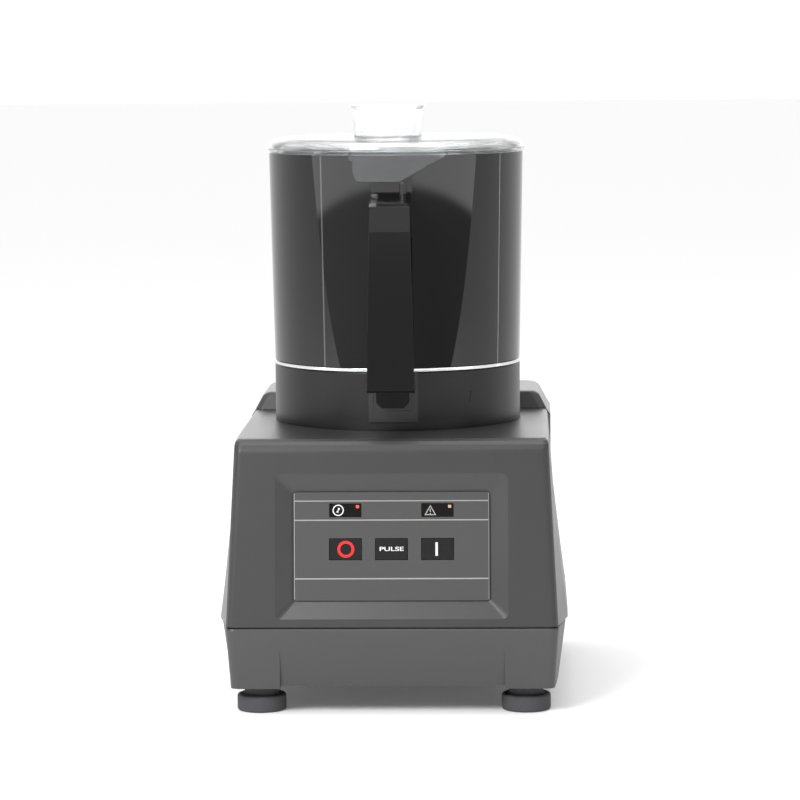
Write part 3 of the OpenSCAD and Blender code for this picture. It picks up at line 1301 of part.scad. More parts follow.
module lid() color([0.85, 0.9, 0.92, 0.35]) difference() {
    union() {
        rotate_extrude($fn = round_fn) polygon(concat(
            [[0, lid_top - lid_wall], [lid_flat_r - lid_wall, lid_top - lid_wall]],
            [[lid_plug_r - lid_wall, rim_z + lid_flange_h - lid_wall / 2], [lid_plug_r - lid_wall,
                rim_z - lid_plug_h], [lid_plug_r, rim_z - lid_plug_h],
            [lid_plug_r, seal_groove_z], [lid_plug_r - seal_groove_depth, seal_groove_z],
            [lid_plug_r - seal_groove_depth, seal_groove_z + seal_groove_h],
            [lid_plug_r, seal_groove_z + seal_groove_h], [lid_plug_r, rim_z], [lid_flange_r, rim_z],
            [lid_flange_r, rim_z + lid_flange_h - rim_chamfer],
            [lid_flange_r - rim_chamfer, rim_z + lid_flange_h]],
            [for (i = [0:lid_shoulder_steps]) let (a = 90 * i / lid_shoulder_steps)
                [lid_flat_r + (lid_flange_r - 2 * rim_chamfer - lid_flat_r) * cos(a),
                rim_z + lid_flange_h + (lid_h - lid_flange_h) * sin(a)]],
            [[0, lid_top]]));
        // link over the rim, and the shelf below it, which ends where the ramp has risen to it
        sector(lid_flange_r - lid_flange_h, tab_out, rim_z, shelf_top_h, tab_start - link_over,
            ramp_start + ramp_angle + link_over / 2);
        sector(shelf_in, tab_out, rim_z - shelf_h, shelf_h + shelf_top_h / 2, tab_start - link_over,
            ramp_start + ramp_angle * (ramp_rise - shelf_h) / ramp_rise - fit_turn);
        tab_plate();
    }
    translate([tube_x, tube_y]) rod(tube_bore + fit_gap, rim_z, lid_h + overrun, round_fn);
}

module feed_tube() color([0.85, 0.9, 0.92, 0.35]) translate([tube_x, tube_y]) rotate_extrude($fn = round_fn)
    polygon([[tube_bore, lid_top], [tube_r, lid_top], [tube_r, tube_top - tube_lip_h],
        [tube_r + tube_lip, tube_top - rim_chamfer], [tube_r + tube_lip, tube_top], [tube_bore, tube_top]]);

module lid_seal() color([0.85, 0.85, 0.86]) rotate_extrude($fn = round_fn)
    translate([lid_plug_r - seal_groove_depth + seal_ring_gap, seal_groove_z + fit_gap])
        square([seal_groove_depth - seal_ring_gap + sliding_gap / 2, seal_groove_h - 2 * fit_gap]);

upper_housing();
rear_hump();
base_tray();
foot(-foot_x, foot_front_y);  // foot_front_left
foot(foot_x, foot_front_y);  // foot_front_right
foot(-foot_x, foot_rear_y);  // foot_rear_left
foot(foot_x, foot_rear_y);  // foot_rear_right
foot_screws();
housing_screws();
keypad_overlay();
key(-1);  // key_off
key(0);  // key_pulse
key(1);  // key_on
lamp_window(-1);  // lamp_window_power
lamp_window(1);  // lamp_window_fault
status_leds();
circuit_board();
tact_switches();
board_screws();
bowl_seat();
keeper_block();
bowl_sensor();
shaft_seal();
motor_plate();
plate_screws();
motor_top_cap();
motor_can();
motor_bottom_cap();
stator_core();
stator_winding();
upper_bearing();
lower_bearing();
motor_bolts();
run_capacitor();
capacitor_clip();
terminal_block();
cable_gland();
drive_shaft();
rotor_core();
cooling_fan();
knife_hub();
lower_blade();
blade_spacer();
upper_blade();
blade_nut();
hub_cap();
bowl_foot_ring();
bowl();
bowl_floor();
bowl_chimney();
handle_grip();
handle_cover();
handle_screws();
interlock_rod();
rod_magnet();
rod_spring();
lid();
feed_tube();
lid_seal();
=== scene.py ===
# %% [markdown]
# # A countertop vertical cutter mixer
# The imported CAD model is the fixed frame: every part already sits in its real place, in metres,
# with the drive axis on Z, the sloped keypad front towards -Y and the table at height zero.
# This script only gives it looks: softer edges, printed panel marks, finishes, light and a camera.
# %% Load the frame
import json
import math

import bpy
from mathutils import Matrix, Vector


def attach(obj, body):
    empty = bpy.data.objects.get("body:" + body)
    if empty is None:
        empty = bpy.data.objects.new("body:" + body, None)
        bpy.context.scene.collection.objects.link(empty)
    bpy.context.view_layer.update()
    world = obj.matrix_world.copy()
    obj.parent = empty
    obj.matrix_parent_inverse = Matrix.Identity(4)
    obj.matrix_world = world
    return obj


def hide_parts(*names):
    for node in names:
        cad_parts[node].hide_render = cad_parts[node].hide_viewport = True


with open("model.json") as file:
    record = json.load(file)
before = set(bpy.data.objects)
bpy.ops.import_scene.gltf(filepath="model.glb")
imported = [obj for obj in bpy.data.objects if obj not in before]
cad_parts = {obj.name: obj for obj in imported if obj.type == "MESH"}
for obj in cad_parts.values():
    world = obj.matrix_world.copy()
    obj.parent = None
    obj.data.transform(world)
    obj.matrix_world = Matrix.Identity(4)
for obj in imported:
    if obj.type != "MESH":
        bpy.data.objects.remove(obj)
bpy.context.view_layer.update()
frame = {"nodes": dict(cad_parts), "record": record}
nodes = frame["nodes"]
scene = bpy.context.scene

# %% [markdown]
# ## The camera
# The photograph was taken from the front with a long lens, a little above the bowl's rim and a touch
# to the right of the middle. The ellipses of rim, collar and feet give the height and the distance.
# A focal length in millimetres on a 36 mm sensor is the easiest way to say how narrow the view is.
# %% Camera
CAMERA_AWAY = 2.601
CAMERA_HIGH = 0.4848
CAMERA_SIDE = math.radians(2.06)
CAMERA_PITCH = math.radians(6.022)
CAMERA_ROLL = math.radians(0.476)
CAMERA_TRIM = math.radians(0.085)
cam_data = bpy.data.cameras.new("studio_camera")
cam_data.lens = 156.04
cam_data.sensor_width = 36
camera = bpy.data.objects.new("studio_camera", cam_data)
scene.collection.objects.link(camera)
camera.location = (CAMERA_AWAY * math.sin(CAMERA_SIDE), -CAMERA_AWAY * math.cos(CAMERA_SIDE), CAMERA_HIGH)
camera.rotation_euler = (math.radians(90) - CAMERA_PITCH, CAMERA_ROLL, CAMERA_SIDE - CAMERA_TRIM)
scene.camera = camera
scene.view_settings.view_transform = "Standard"
print("camera at", [round(v, 3) for v in camera.location])


# %% [markdown]
# ## Helpers for modelling
# Everything below is done with the same operators as by hand. Operators act on whatever is selected,
# and loading the frame leaves its parts selected, so each helper starts from nothing selected.
# %% Modelling helpers
def only(obj):
    """Makes obj the one selected and active object."""
    if bpy.context.object and bpy.context.object.mode != "OBJECT":
        bpy.ops.object.mode_set(mode="OBJECT")
    bpy.ops.object.select_all(action="DESELECT")
    obj.select_set(True)
    bpy.context.view_layer.objects.active = obj
    return obj


def settle(obj):
    """Puts the piece's place into its mesh, so that the object itself sits at the origin."""
    only(obj)
    bpy.ops.object.transform_apply(location=True, rotation=True, scale=True)
    return obj


def named(name):
    """The piece that an operator has just added, under its own name."""
    obj = bpy.context.active_object
    obj.name = name
    obj.data.name = name
    return obj


def soften(obj, width, segments=2, angle=30):
    """Rounds every edge sharper than angle, then shades the rest smooth."""
    only(obj)
    if width:
        mod = obj.modifiers.new("edges", "BEVEL")
        mod.width = width
        mod.segments = segments
        mod.limit_method = "ANGLE"
        mod.angle_limit = math.radians(angle)
        bpy.ops.object.modifier_apply(modifier=mod.name)
    bpy.ops.object.shade_smooth_by_angle(angle=math.radians(angle))
    # large flat faces keep their own direction, so that they don't shade like pillows
    mod = obj.modifiers.new("normals", "WEIGHTED_NORMAL")
    mod.keep_sharp = True
    bpy.ops.object.modifier_apply(modifier=mod.name)
    return obj


def body_name(node):
    """The rigid body that a CAD node belongs to."""
    for body, members in frame["record"]["behaviour"]["bodies"].items():
        if node in members:
            return body
    raise KeyError(node)


def refined(node, width=0.0004, segments=2, angle=30, dissolve=0.6):
    """A copy of a CAD node with its triangles merged, flat areas cleaned and edges softened."""
    source = nodes[node]
    copy = source.copy()
    copy.data = source.data.copy()
    copy.name = node + "_soft"
    scene.collection.objects.link(copy)
    copy.parent = None
    only(copy)
    bpy.ops.object.mode_set(mode="EDIT")
    bpy.ops.mesh.select_all(action="SELECT")
    bpy.ops.mesh.remove_doubles(threshold=0.000004)
    if dissolve:
        bpy.ops.mesh.dissolve_limited(angle_limit=math.radians(dissolve))
    bpy.ops.object.mode_set(mode="OBJECT")
    copy.data.name = copy.name
    soften(copy, width, segments, angle)
    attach(copy, body_name(node))
    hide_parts(node)
    return copy


def lathe(name, profile, width=0.0, steps=128, turn=360, start=0, place=(0, 0)):
    """Spins a closed profile of (radius, height) points in millimetres round an upright axis.

    start and turn are degrees from the front, positive to the right."""
    bpy.ops.object.select_all(action="DESELECT")
    bpy.ops.mesh.primitive_plane_add(size=0.001, location=(0, 0, 0))
    obj = named(name)
    bpy.ops.object.mode_set(mode="EDIT")
    bpy.ops.mesh.select_all(action="SELECT")
    bpy.ops.mesh.merge(type="CENTER")
    last = (0, 0)
    loop = list(profile) + [profile[0]]
    for i, (radius, height) in enumerate(loop):
        step = (0, -(radius - last[0]) / 1000, (height - last[1]) / 1000)
        if i == 0:
            bpy.ops.transform.translate(value=step)
        else:
            bpy.ops.mesh.extrude_region_move(TRANSFORM_OT_translate={"value": step})
        last = (radius, height)
    bpy.ops.mesh.select_all(action="SELECT")
    bpy.ops.mesh.remove_doubles(threshold=0.0000005)
    bpy.ops.mesh.select_all(action="SELECT")
    if turn < 360:
        bpy.ops.mesh.edge_face_add()
        bpy.ops.transform.rotate(value=-math.radians(start), orient_axis="Z", center_override=(0, 0, 0))
        bpy.ops.mesh.select_all(action="SELECT")
    bpy.ops.mesh.spin(steps=steps, angle=math.radians(turn), center=(0, 0, 0), axis=(0, 0, 1))
    bpy.ops.mesh.select_all(action="SELECT")
    bpy.ops.mesh.remove_doubles(threshold=0.0000005)
    bpy.ops.mesh.normals_make_consistent(inside=False)
    bpy.ops.object.mode_set(mode="OBJECT")
    obj.location = (place[0] / 1000, place[1] / 1000, 0)
    settle(obj)
    return soften(obj, width, 2, 30)


def arc(cx, cy, radius, start, end, steps):
    """Points on an arc, for a lathe profile."""
    turns = [math.radians(start + (end - start) * i / steps) for i in range(steps + 1)]
    return [(cx + radius * math.cos(a), cy + radius * math.sin(a)) for a in turns]


def piece(obj, body, slot, finish, *stands_for):
    """Attaches a new piece to its body, gives it its finish and hides the CAD nodes it stands for; slot is
    not used.
    """
    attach(obj, body)
    if stands_for:
        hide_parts(*stands_for)
    dress(obj, finish)
    return obj


print("helpers ready")


# %% [markdown]
# ## Helpers for finishes
# A finish starts from one Principled shader. What varies over the surface, such as the fine grain of
# moulded plastic or the lines left by a grinding belt, comes from node groups that are built once
# and placed in each material with their own values. They read Object coordinates, in metres.
# %% Material helpers
def new_material(name, color, rough, metallic=0.0, coat=0.0, coat_rough=0.05, ior=1.5, specular=0.5):
    mat = bpy.data.materials.new(name)
    mat.use_nodes = True
    bsdf = mat.node_tree.nodes["Principled BSDF"]
    bsdf.inputs["Base Color"].default_value = (*color, 1)
    bsdf.inputs["Roughness"].default_value = rough
    bsdf.inputs["Metallic"].default_value = metallic
    bsdf.inputs["IOR"].default_value = ior
    bsdf.inputs["Specular IOR Level"].default_value = specular
    bsdf.inputs["Coat Weight"].default_value = coat
    bsdf.inputs["Coat Roughness"].default_value = coat_rough
    return mat


def group_with(name, inputs, outputs):
    """An empty shader node group with float inputs (name, default) and outputs (name, type)."""
    tree = bpy.data.node_groups.new(name, "ShaderNodeTree")
    for label, value in inputs:
        socket = tree.interface.new_socket(name=label, in_out="INPUT", socket_type="NodeSocketFloat")
        socket.default_value = value
    for label, kind in outputs:
        tree.interface.new_socket(name=label, in_out="OUTPUT", socket_type=kind)
    return tree, tree.nodes.new("NodeGroupInput"), tree.nodes.new("NodeGroupOutput")


def math_node(tree, operation, a, b=None):
    node = tree.nodes.new("ShaderNodeMath")
    node.operation = operation
    for i, value in enumerate((a, b)):
        if value is None:
            continue
        if isinstance(value, (int, float)):
            node.inputs[i].default_value = value
        else:
            tree.links.new(value, node.inputs[i])
    return node.outputs[0]


# Fine spark-eroded grain of a moulded part: a rough value and a height
skin, skin_in, skin_out = group_with(
    "moulded_skin",
    [("Grain", 1800.0), ("Cloud", 14.0), ("Rough", 0.4), ("Spread", 0.1)],
    [("Roughness", "NodeSocketFloat"), ("Height", "NodeSocketFloat")])
coords = skin.nodes.new("ShaderNodeTexCoord")
grain = skin.nodes.new("ShaderNodeTexNoise")
grain.inputs["Detail"].default_value = 3
skin.links.new(coords.outputs["Object"], grain.inputs["Vector"])
skin.links.new(skin_in.outputs["Grain"], grain.inputs["Scale"])
cloud = skin.nodes.new("ShaderNodeTexNoise")
cloud.inputs["Detail"].default_value = 4
skin.links.new(coords.outputs["Object"], cloud.inputs["Vector"])
skin.links.new(skin_in.outputs["Cloud"], cloud.inputs["Scale"])
both = math_node(skin, "ADD", math_node(skin, "MULTIPLY", grain.outputs[0], 0.5),
                 math_node(skin, "MULTIPLY", cloud.outputs[0], 0.5))
swing = math_node(skin, "MULTIPLY", math_node(skin, "SUBTRACT", both, 0.5), skin_in.outputs["Spread"])
skin.links.new(math_node(skin, "ADD", swing, skin_in.outputs["Rough"]), skin_out.inputs["Roughness"])
skin.links.new(grain.outputs[0], skin_out.inputs["Height"])


def add_skin(mat, grain_scale, rough, spread, depth, cloud_scale=14.0):
    """Places the moulded skin in a material. depth is the height of the grain in metres."""
    tree = mat.node_tree
    bsdf = tree.nodes["Principled BSDF"]
    node = tree.nodes.new("ShaderNodeGroup")
    node.node_tree = skin
    for label, value in (("Grain", grain_scale), ("Cloud", cloud_scale),
                         ("Rough", rough), ("Spread", spread)):
        node.inputs[label].default_value = value
    tree.links.new(node.outputs["Roughness"], bsdf.inputs["Roughness"])
    if depth:
        bump = tree.nodes.new("ShaderNodeBump")
        bump.inputs["Distance"].default_value = depth
        tree.links.new(node.outputs["Height"], bump.inputs["Height"])
        tree.links.new(bump.outputs["Normal"], bsdf.inputs["Normal"])
    return mat


# Lines of a ground or turned metal: noise stretched along one axis
lines, lines_in, lines_out = group_with(
    "ground_lines",
    [("X", 900.0), ("Y", 900.0), ("Z", 20.0), ("Rough", 0.25), ("Spread", 0.25)],
    [("Roughness", "NodeSocketFloat"), ("Height", "NodeSocketFloat")])
coords = lines.nodes.new("ShaderNodeTexCoord")
stretch = lines.nodes.new("ShaderNodeCombineXYZ")
for label in "XYZ":
    lines.links.new(lines_in.outputs[label], stretch.inputs[label])
scaled = lines.nodes.new("ShaderNodeVectorMath")
scaled.operation = "MULTIPLY"
lines.links.new(coords.outputs["Object"], scaled.inputs[0])
lines.links.new(stretch.outputs[0], scaled.inputs[1])
streak = lines.nodes.new("ShaderNodeTexNoise")
streak.inputs["Scale"].default_value = 1.0
streak.inputs["Detail"].default_value = 3
lines.links.new(scaled.outputs[0], streak.inputs["Vector"])
swing = math_node(lines, "MULTIPLY", math_node(lines, "SUBTRACT", streak.outputs[0], 0.5),
                  lines_in.outputs["Spread"])
lines.links.new(math_node(lines, "ADD", swing, lines_in.outputs["Rough"]), lines_out.inputs["Roughness"])
lines.links.new(streak.outputs[0], lines_out.inputs["Height"])


def add_lines(mat, stretch_by, rough, spread, depth):
    """Places the ground lines in a material, stretched by one number for each axis."""
    tree = mat.node_tree
    bsdf = tree.nodes["Principled BSDF"]
    node = tree.nodes.new("ShaderNodeGroup")
    node.node_tree = lines
    for label, value in zip(("X", "Y", "Z", "Rough", "Spread"), (*stretch_by, rough, spread)):
        node.inputs[label].default_value = value
    tree.links.new(node.outputs["Roughness"], bsdf.inputs["Roughness"])
    bump = tree.nodes.new("ShaderNodeBump")
    bump.inputs["Distance"].default_value = depth
    tree.links.new(node.outputs["Height"], bump.inputs["Height"])
    tree.links.new(bump.outputs["Normal"], bsdf.inputs["Normal"])
    return mat


def dress(obj, mat):
    """Gives a piece or a CAD node one material all over."""
    if not obj.material_slots:
        obj.data.materials.append(mat)
    for slot in obj.material_slots:
        slot.material = mat


print("node groups:", [g.name for g in bpy.data.node_groups])

# %% [markdown]
# ## The finishes
# The shell is charcoal moulded plastic with a fine grain, a little lighter than the bowl, which is
# polished black. The collar between them is satin. Rubber feet have no shine at all.
# %% Finishes
shell_grey = add_skin(new_material("shell_grey", (0.031, 0.030, 0.030), 0.42), 1500, 0.36, 0.12, 0.00007)
tray_grey = add_skin(new_material("tray_grey", (0.045, 0.044, 0.044), 0.42), 1500, 0.46, 0.10, 0.00006)
foot_rubber = add_skin(new_material("foot_rubber", (0.062, 0.062, 0.065), 0.8, specular=0.3),
                       900, 0.82, 0.12, 0.0001)
collar_satin = add_skin(new_material("collar_satin", (0.004, 0.0035, 0.0038), 0.38, specular=0.4),
                        1600, 0.36, 0.10, 0.00004)
bowl_black = add_skin(new_material("bowl_black", (0.006, 0.006, 0.0065), 0.1), 300, 0.022, 0.01, 0.0, 6.0)
handle_black = add_skin(new_material("handle_black", (0.005, 0.005, 0.0055), 0.1, specular=0.36),
                        400, 0.07, 0.03, 0.0, 9.0)
keeper_black = add_skin(new_material("keeper_black", (0.01, 0.01, 0.01), 0.3), 1200, 0.3, 0.1, 0.00003)
overlay_grey = add_skin(new_material("overlay_grey", (0.045, 0.044, 0.044), 0.4), 2600, 0.42, 0.08, 0.00002)
key_black = add_skin(new_material("key_black", (0.008, 0.008, 0.008), 0.35, specular=0.25),
                     2600, 0.34, 0.08, 0.00002)
lens_smoked = add_skin(new_material("lens_smoked", (0.006, 0.005, 0.005), 0.3, specular=0.2),
                       1500, 0.22, 0.06, 0.0)
gland_black = add_skin(new_material("gland_black", (0.02, 0.02, 0.02), 0.5), 1400, 0.5, 0.1, 0.00005)
steel_ring = add_lines(new_material("steel_ring", (0.72, 0.72, 0.73), 0.18, metallic=1.0),
                       (40, 40, 2400), 0.16, 0.12, 0.00001)
steel_ground = add_lines(new_material("steel_ground", (0.62, 0.62, 0.63), 0.25, metallic=1.0),
                         (1200, 60, 900), 0.26, 0.2, 0.00002)
steel_turned = add_lines(new_material("steel_turned", (0.6, 0.6, 0.61), 0.25, metallic=1.0),
                         (30, 30, 3000), 0.24, 0.2, 0.00002)
rod_black = add_skin(new_material("rod_black", (0.02, 0.02, 0.021), 0.3), 900, 0.3, 0.1, 0.0)
steel_screw = add_lines(new_material("steel_screw", (0.55, 0.55, 0.57), 0.3, metallic=1.0),
                        (600, 600, 600), 0.3, 0.2, 0.00002)
cast_alloy = add_skin(new_material("cast_alloy", (0.56, 0.57, 0.58), 0.5, metallic=1.0),
                      700, 0.5, 0.2, 0.0001)
painted_can = add_skin(new_material("painted_can", (0.06, 0.065, 0.07), 0.4), 900, 0.4, 0.1, 0.00005)
core_steel = add_lines(new_material("core_steel", (0.3, 0.3, 0.31), 0.4, metallic=1.0),
                       (20, 20, 6000), 0.42, 0.2, 0.00008)
winding_copper = add_lines(new_material("winding_copper", (0.55, 0.17, 0.06), 0.3, metallic=1.0),
                           (50, 50, 3000), 0.3, 0.2, 0.0002)
board_green = add_skin(new_material("board_green", (0.02, 0.13, 0.05), 0.35), 1200, 0.36, 0.1, 0.00002)
part_black = add_skin(new_material("part_black", (0.03, 0.03, 0.03), 0.5), 1200, 0.5, 0.1, 0.00003)
pale_plastic = add_skin(new_material("pale_plastic", (0.62, 0.6, 0.54), 0.5), 1200, 0.5, 0.1, 0.00003)
led_red = new_material("led_red", (0.45, 0.02, 0.015), 0.15)
print_white = add_skin(new_material("print_white", (0.62, 0.62, 0.62), 0.5), 2600, 0.5, 0.08, 0.0)
print_red = add_skin(new_material("print_red", (0.75, 0.006, 0.01), 0.45), 2600, 0.45, 0.08, 0.0)
rule_grey = add_skin(new_material("rule_grey", (0.26, 0.26, 0.255), 0.4), 2600, 0.4, 0.08, 0.0)
lamp_red = new_material("lamp_red", (0.7, 0.05, 0.03), 0.3)
lamp_red.node_tree.nodes["Principled BSDF"].inputs["Emission Color"].default_value = (1.0, 0.1, 0.06, 1)
lamp_red.node_tree.nodes["Principled BSDF"].inputs["Emission Strength"].default_value = 0.7
lamp_amber = new_material("lamp_amber", (0.42, 0.3, 0.22), 0.3)
seal_pale = add_skin(new_material("seal_pale", (0.62, 0.64, 0.65), 0.5), 900, 0.5, 0.1, 0.00003)
glass_clear = new_material("lid_clear", (0.93, 0.96, 0.97), 0.03, ior=1.49)
# two fifths of the light pass straight through, so that the thin walls don't go dark by refraction
glass = glass_clear.node_tree.nodes["Principled BSDF"]
glass.inputs["Transmission Weight"].default_value = 1.0
glass.inputs["Alpha"].default_value = 0.6
print("materials:", len(bpy.data.materials))

# %% [markdown]
# ## Finishes for the CAD parts
# A part whose shape is right stays as it is and only gets its finish.
# %% Dress the CAD parts
finish_of = {
    "upper_housing": shell_grey, "base_tray": tray_grey, "foot_front_left": foot_rubber,
    "foot_front_right": foot_rubber, "foot_rear_left": foot_rubber, "foot_rear_right": foot_rubber,
    "foot_screws": steel_screw, "housing_screws": steel_screw, "keypad_overlay": overlay_grey,
    "key_off": key_black, "key_pulse": key_black, "key_on": key_black, "lamp_window_power": lens_smoked,
    "lamp_window_fault": lens_smoked, "status_leds": led_red, "circuit_board": board_green,
    "tact_switches": part_black, "board_screws": steel_screw, "bowl_seat": collar_satin,
    "keeper_block": keeper_black, "bowl_sensor": pale_plastic, "shaft_seal": gland_black,
    "motor_plate": cast_alloy, "plate_screws": steel_screw, "motor_top_cap": cast_alloy,
    "motor_can": painted_can, "motor_bottom_cap": cast_alloy, "stator_core": core_steel,
    "stator_winding": winding_copper, "upper_bearing": steel_turned, "lower_bearing": steel_turned,
    "motor_bolts": steel_screw, "run_capacitor": cast_alloy, "capacitor_clip": steel_screw,
    "terminal_block": pale_plastic, "cable_gland": gland_black, "drive_shaft": steel_turned,
    "rotor_core": core_steel, "cooling_fan": part_black, "knife_hub": steel_turned,
    "lower_blade": steel_ground, "blade_spacer": steel_turned, "upper_blade": steel_ground,
    "blade_nut": steel_turned, "hub_cap": handle_black, "bowl_foot_ring": steel_ring,
    "bowl": bowl_black, "handle_grip": handle_black, "handle_cover": handle_black,
    "handle_screws": steel_screw, "interlock_rod": rod_black, "rod_magnet": steel_screw,
    "rod_spring": steel_screw, "lid": glass_clear, "feed_tube": glass_clear, "lid_seal": seal_pale,
    "rear_hump": shell_grey, "bowl_floor": bowl_black, "bowl_chimney": bowl_black,
}
for name, obj in nodes.items():
    dress(obj, finish_of[name])
print("dressed", len(finish_of))

# %% [markdown]
# ## Softer edges
# Moulded parts have no knife edges. The visible ones are copied, their loose triangles merged, and
# every sharp edge gets a small round that catches the light.
# %% Soft-edged copies
# the recess and the handle cover have shallow creases that must stay crisp
crease_of = {"upper_housing": 13, "handle_cover": 6, "handle_grip": 13, "lid": 18}
soft = {}
for name, width, clean in (
        ("upper_housing", 0.0006, 0.6), ("rear_hump", 0.0006, 0.6), ("base_tray", 0.0006, 0.6),
        ("handle_grip", 0.0011, 0.6), ("handle_cover", 0.0018, 0.6), ("keeper_block", 0.0004, 0),
        ("bowl_seat", 0.0004, 0), ("lid", 0.0003, 0), ("keypad_overlay", 0.00015, 0.6),
        ("key_off", 0.00015, 0.6), ("key_pulse", 0.00015, 0.6), ("key_on", 0.00015, 0.6),
        ("bowl_foot_ring", 0.0002, 0), ("hub_cap", 0.0005, 0), ("lower_blade", 0.00012, 0),
        ("upper_blade", 0.00012, 0)):
    soft[name] = refined(name, width, angle=crease_of.get(name, 30), dissolve=clean)
    dress(soft[name], finish_of[name])
    print(name, len(soft[name].data.polygons), "faces")

# %% [markdown]
# ## The bowl
# The bowl is a lathe piece: a wall that widens by three millimetres up to the rim, a round fillet at
# the floor, a chimney in the middle for the drive shaft and a skirt that drops into the collar. One
# closed profile is drawn point by point, in millimetres, and spun round the drive axis.
# %% Bowl
bowl_profile = ([(18, 242.9), (81.3, 242.9), (81.3, 210.9), (84.3, 210.9), (84.3, 242.9), (91.6, 242.9),
                 (92, 243.3), (95, 397.5)]
                + arc(94.4, 397.4, 0.6, 10, 90, 3) + arc(92.6, 397.4, 0.6, 90, 180, 3)
                + arc(81, 254.6, 8, 0, -90, 8) + arc(22.8, 248.4, 1.8, 270, 180, 4)
                + arc(20.2, 303.1, 0.8, 0, 90, 3) + [(18.4, 303.9), (18, 303.5)])
bowl_turned = piece(lathe("bowl_turned", bowl_profile, steps=160), "bowl", "bowl_plastic", bowl_black,
                    "bowl", "bowl_floor", "bowl_chimney")
print("bowl faces:", len(bowl_turned.data.polygons))

# %% [markdown]
# Above the handle a pad stands three millimetres proud of the wall. It is a short turn of the same
# lathe, closed at both ends. Two bosses under the handle take its screws.
# %% Bowl pad and bosses
bowl_pad = piece(lathe("bowl_pad", [(94.6, 370.8), (98, 370.8), (98, 393.8), (94.6, 393.8)], 0.0006,
                       steps=12, turn=17.6, start=8.8), "bowl", "bowl_plastic", handle_black)
for label, high in (("low", 0.2609), ("high", 0.306)):
    bpy.ops.object.select_all(action="DESELECT")
    bpy.ops.mesh.primitive_cylinder_add(vertices=40, radius=0.006, depth=0.005,
                                        location=(-0.006, -0.0945, high), rotation=(math.radians(90), 0, 0))
    boss = soften(settle(named("bowl_boss_" + label)), 0.0003)
    piece(boss, "bowl", "bowl_plastic", bowl_black)
print("pad faces:", len(bowl_pad.data.polygons))

# %% [markdown]
# ## Feet
# One rubber foot is turned, with a rounded top edge, a narrower neck and a recess for its screw, and
# then copied to the other three corners.
# %% Feet
foot_profile = ([(6, 0.3), (6.3, 0), (16.4, 0)] + arc(16.2, 1.5, 1.5, -80, 0, 4)
                + arc(15.9, 9.9, 1.8, 0, 90, 5)
                + [(13.1, 11.7), (12.5, 12.3), (12.5, 19.1), (3.2, 19.1), (3.2, 6), (6, 6)])
first_foot = lathe("foot_turned", foot_profile, steps=72)
FOOT_X, FOOT_FRONT, FOOT_REAR = 0.0956, -0.13, 0.126
for label, x, y in (("front_left", -FOOT_X, FOOT_FRONT), ("front_right", FOOT_X, FOOT_FRONT),
                    ("rear_left", -FOOT_X, FOOT_REAR), ("rear_right", FOOT_X, FOOT_REAR)):
    foot = first_foot.copy()
    foot.data = first_foot.data.copy()
    foot.name = foot.data.name = "foot_turned_" + label
    scene.collection.objects.link(foot)
    foot.location = (x, y, 0)
    settle(foot)
    piece(foot, "base", "foot_rubber", foot_rubber, "foot_" + label)
bpy.data.objects.remove(first_foot, do_unlink=True)

# %% [markdown]
# ## Feed tube
# The clear tube stands on the lid behind the middle. It has a small fillet at its foot and a flared
# lip at the top.
# %% Feed tube
tube_profile = ([(23, 409), (27.4, 409)] + arc(27.4, 410.8, 1.8, 270, 180, 4)
                + [(25.6, 429.6), (27.9, 432.4)] + arc(27.6, 432.8, 0.3, 0, 90, 2) + [(23, 433.1)])
feed_turned = piece(lathe("feed_turned", tube_profile, steps=96, place=(-4.5, -35)), "lid", "lid_clear",
                    glass_clear, "feed_tube")
print("feed tube faces:", len(feed_turned.data.polygons))

# %% [markdown]
# ## Marks on the panel
# Everything printed on the panel lies in the frame of the sloped face: u to the right, v up the face
# and w out of it, in millimetres from the panel's centre. A mark is modelled flat at the origin,
# turned to the slope and moved to its place.
# %% Panel helpers
SLOPE = math.atan(17 / 133.9)
FACE = Vector((0, -0.15412, 0.1218))
OVERLAY = -2.5
KEY = -2.3


def on_panel(obj, u, v, w):
    """Moves a mark that was modelled flat at the origin to its place on the sloped face."""
    up = Vector((0, math.sin(SLOPE), math.cos(SLOPE)))
    out = Vector((0, -math.cos(SLOPE), math.sin(SLOPE)))
    obj.location = FACE + Vector((u / 1000, 0, 0)) + up * (v / 1000) + out * (w / 1000)
    obj.rotation_euler = (math.radians(90) - SLOPE, 0, 0)
    return settle(obj)


def bar(name, width, height, thick=0.05):
    """A thin plate, width by height millimetres, lying at the origin."""
    bpy.ops.object.select_all(action="DESELECT")
    bpy.ops.mesh.primitive_cube_add(size=1, location=(0, 0, thick / 2000),
                                    scale=(width / 1000, height / 1000, thick / 1000))
    return settle(named(name))


def outline(name, outer, inner, corners=64, thick=0.05):
    """A flat ring, or a hollow polygon with few corners, lying at the origin."""
    bpy.ops.object.select_all(action="DESELECT")
    bpy.ops.mesh.primitive_circle_add(vertices=corners, radius=outer / 1000, fill_type="NOTHING")
    obj = named(name)
    bpy.ops.object.mode_set(mode="EDIT")
    bpy.ops.mesh.select_all(action="SELECT")
    bpy.ops.mesh.extrude_region_move()
    bpy.ops.transform.resize(value=(inner / outer, inner / outer, 1), center_override=(0, 0, 0))
    bpy.ops.mesh.select_all(action="SELECT")
    bpy.ops.mesh.extrude_region_move(TRANSFORM_OT_translate={"value": (0, 0, thick / 1000)})
    bpy.ops.mesh.select_all(action="SELECT")
    bpy.ops.mesh.normals_make_consistent(inside=False)
    bpy.ops.object.mode_set(mode="OBJECT")
    return obj


def wedge(name, size, turn, squeeze, thick=0.05):
    """A thin triangle, squeezed sideways and turned, lying at the origin."""
    bpy.ops.object.select_all(action="DESELECT")
    bpy.ops.mesh.primitive_cylinder_add(vertices=3, radius=size / 1000, depth=thick / 1000,
                                        location=(0, 0, thick / 2000), rotation=(0, 0, math.radians(turn)),
                                        scale=(squeeze, 1, 1))
    return settle(named(name))


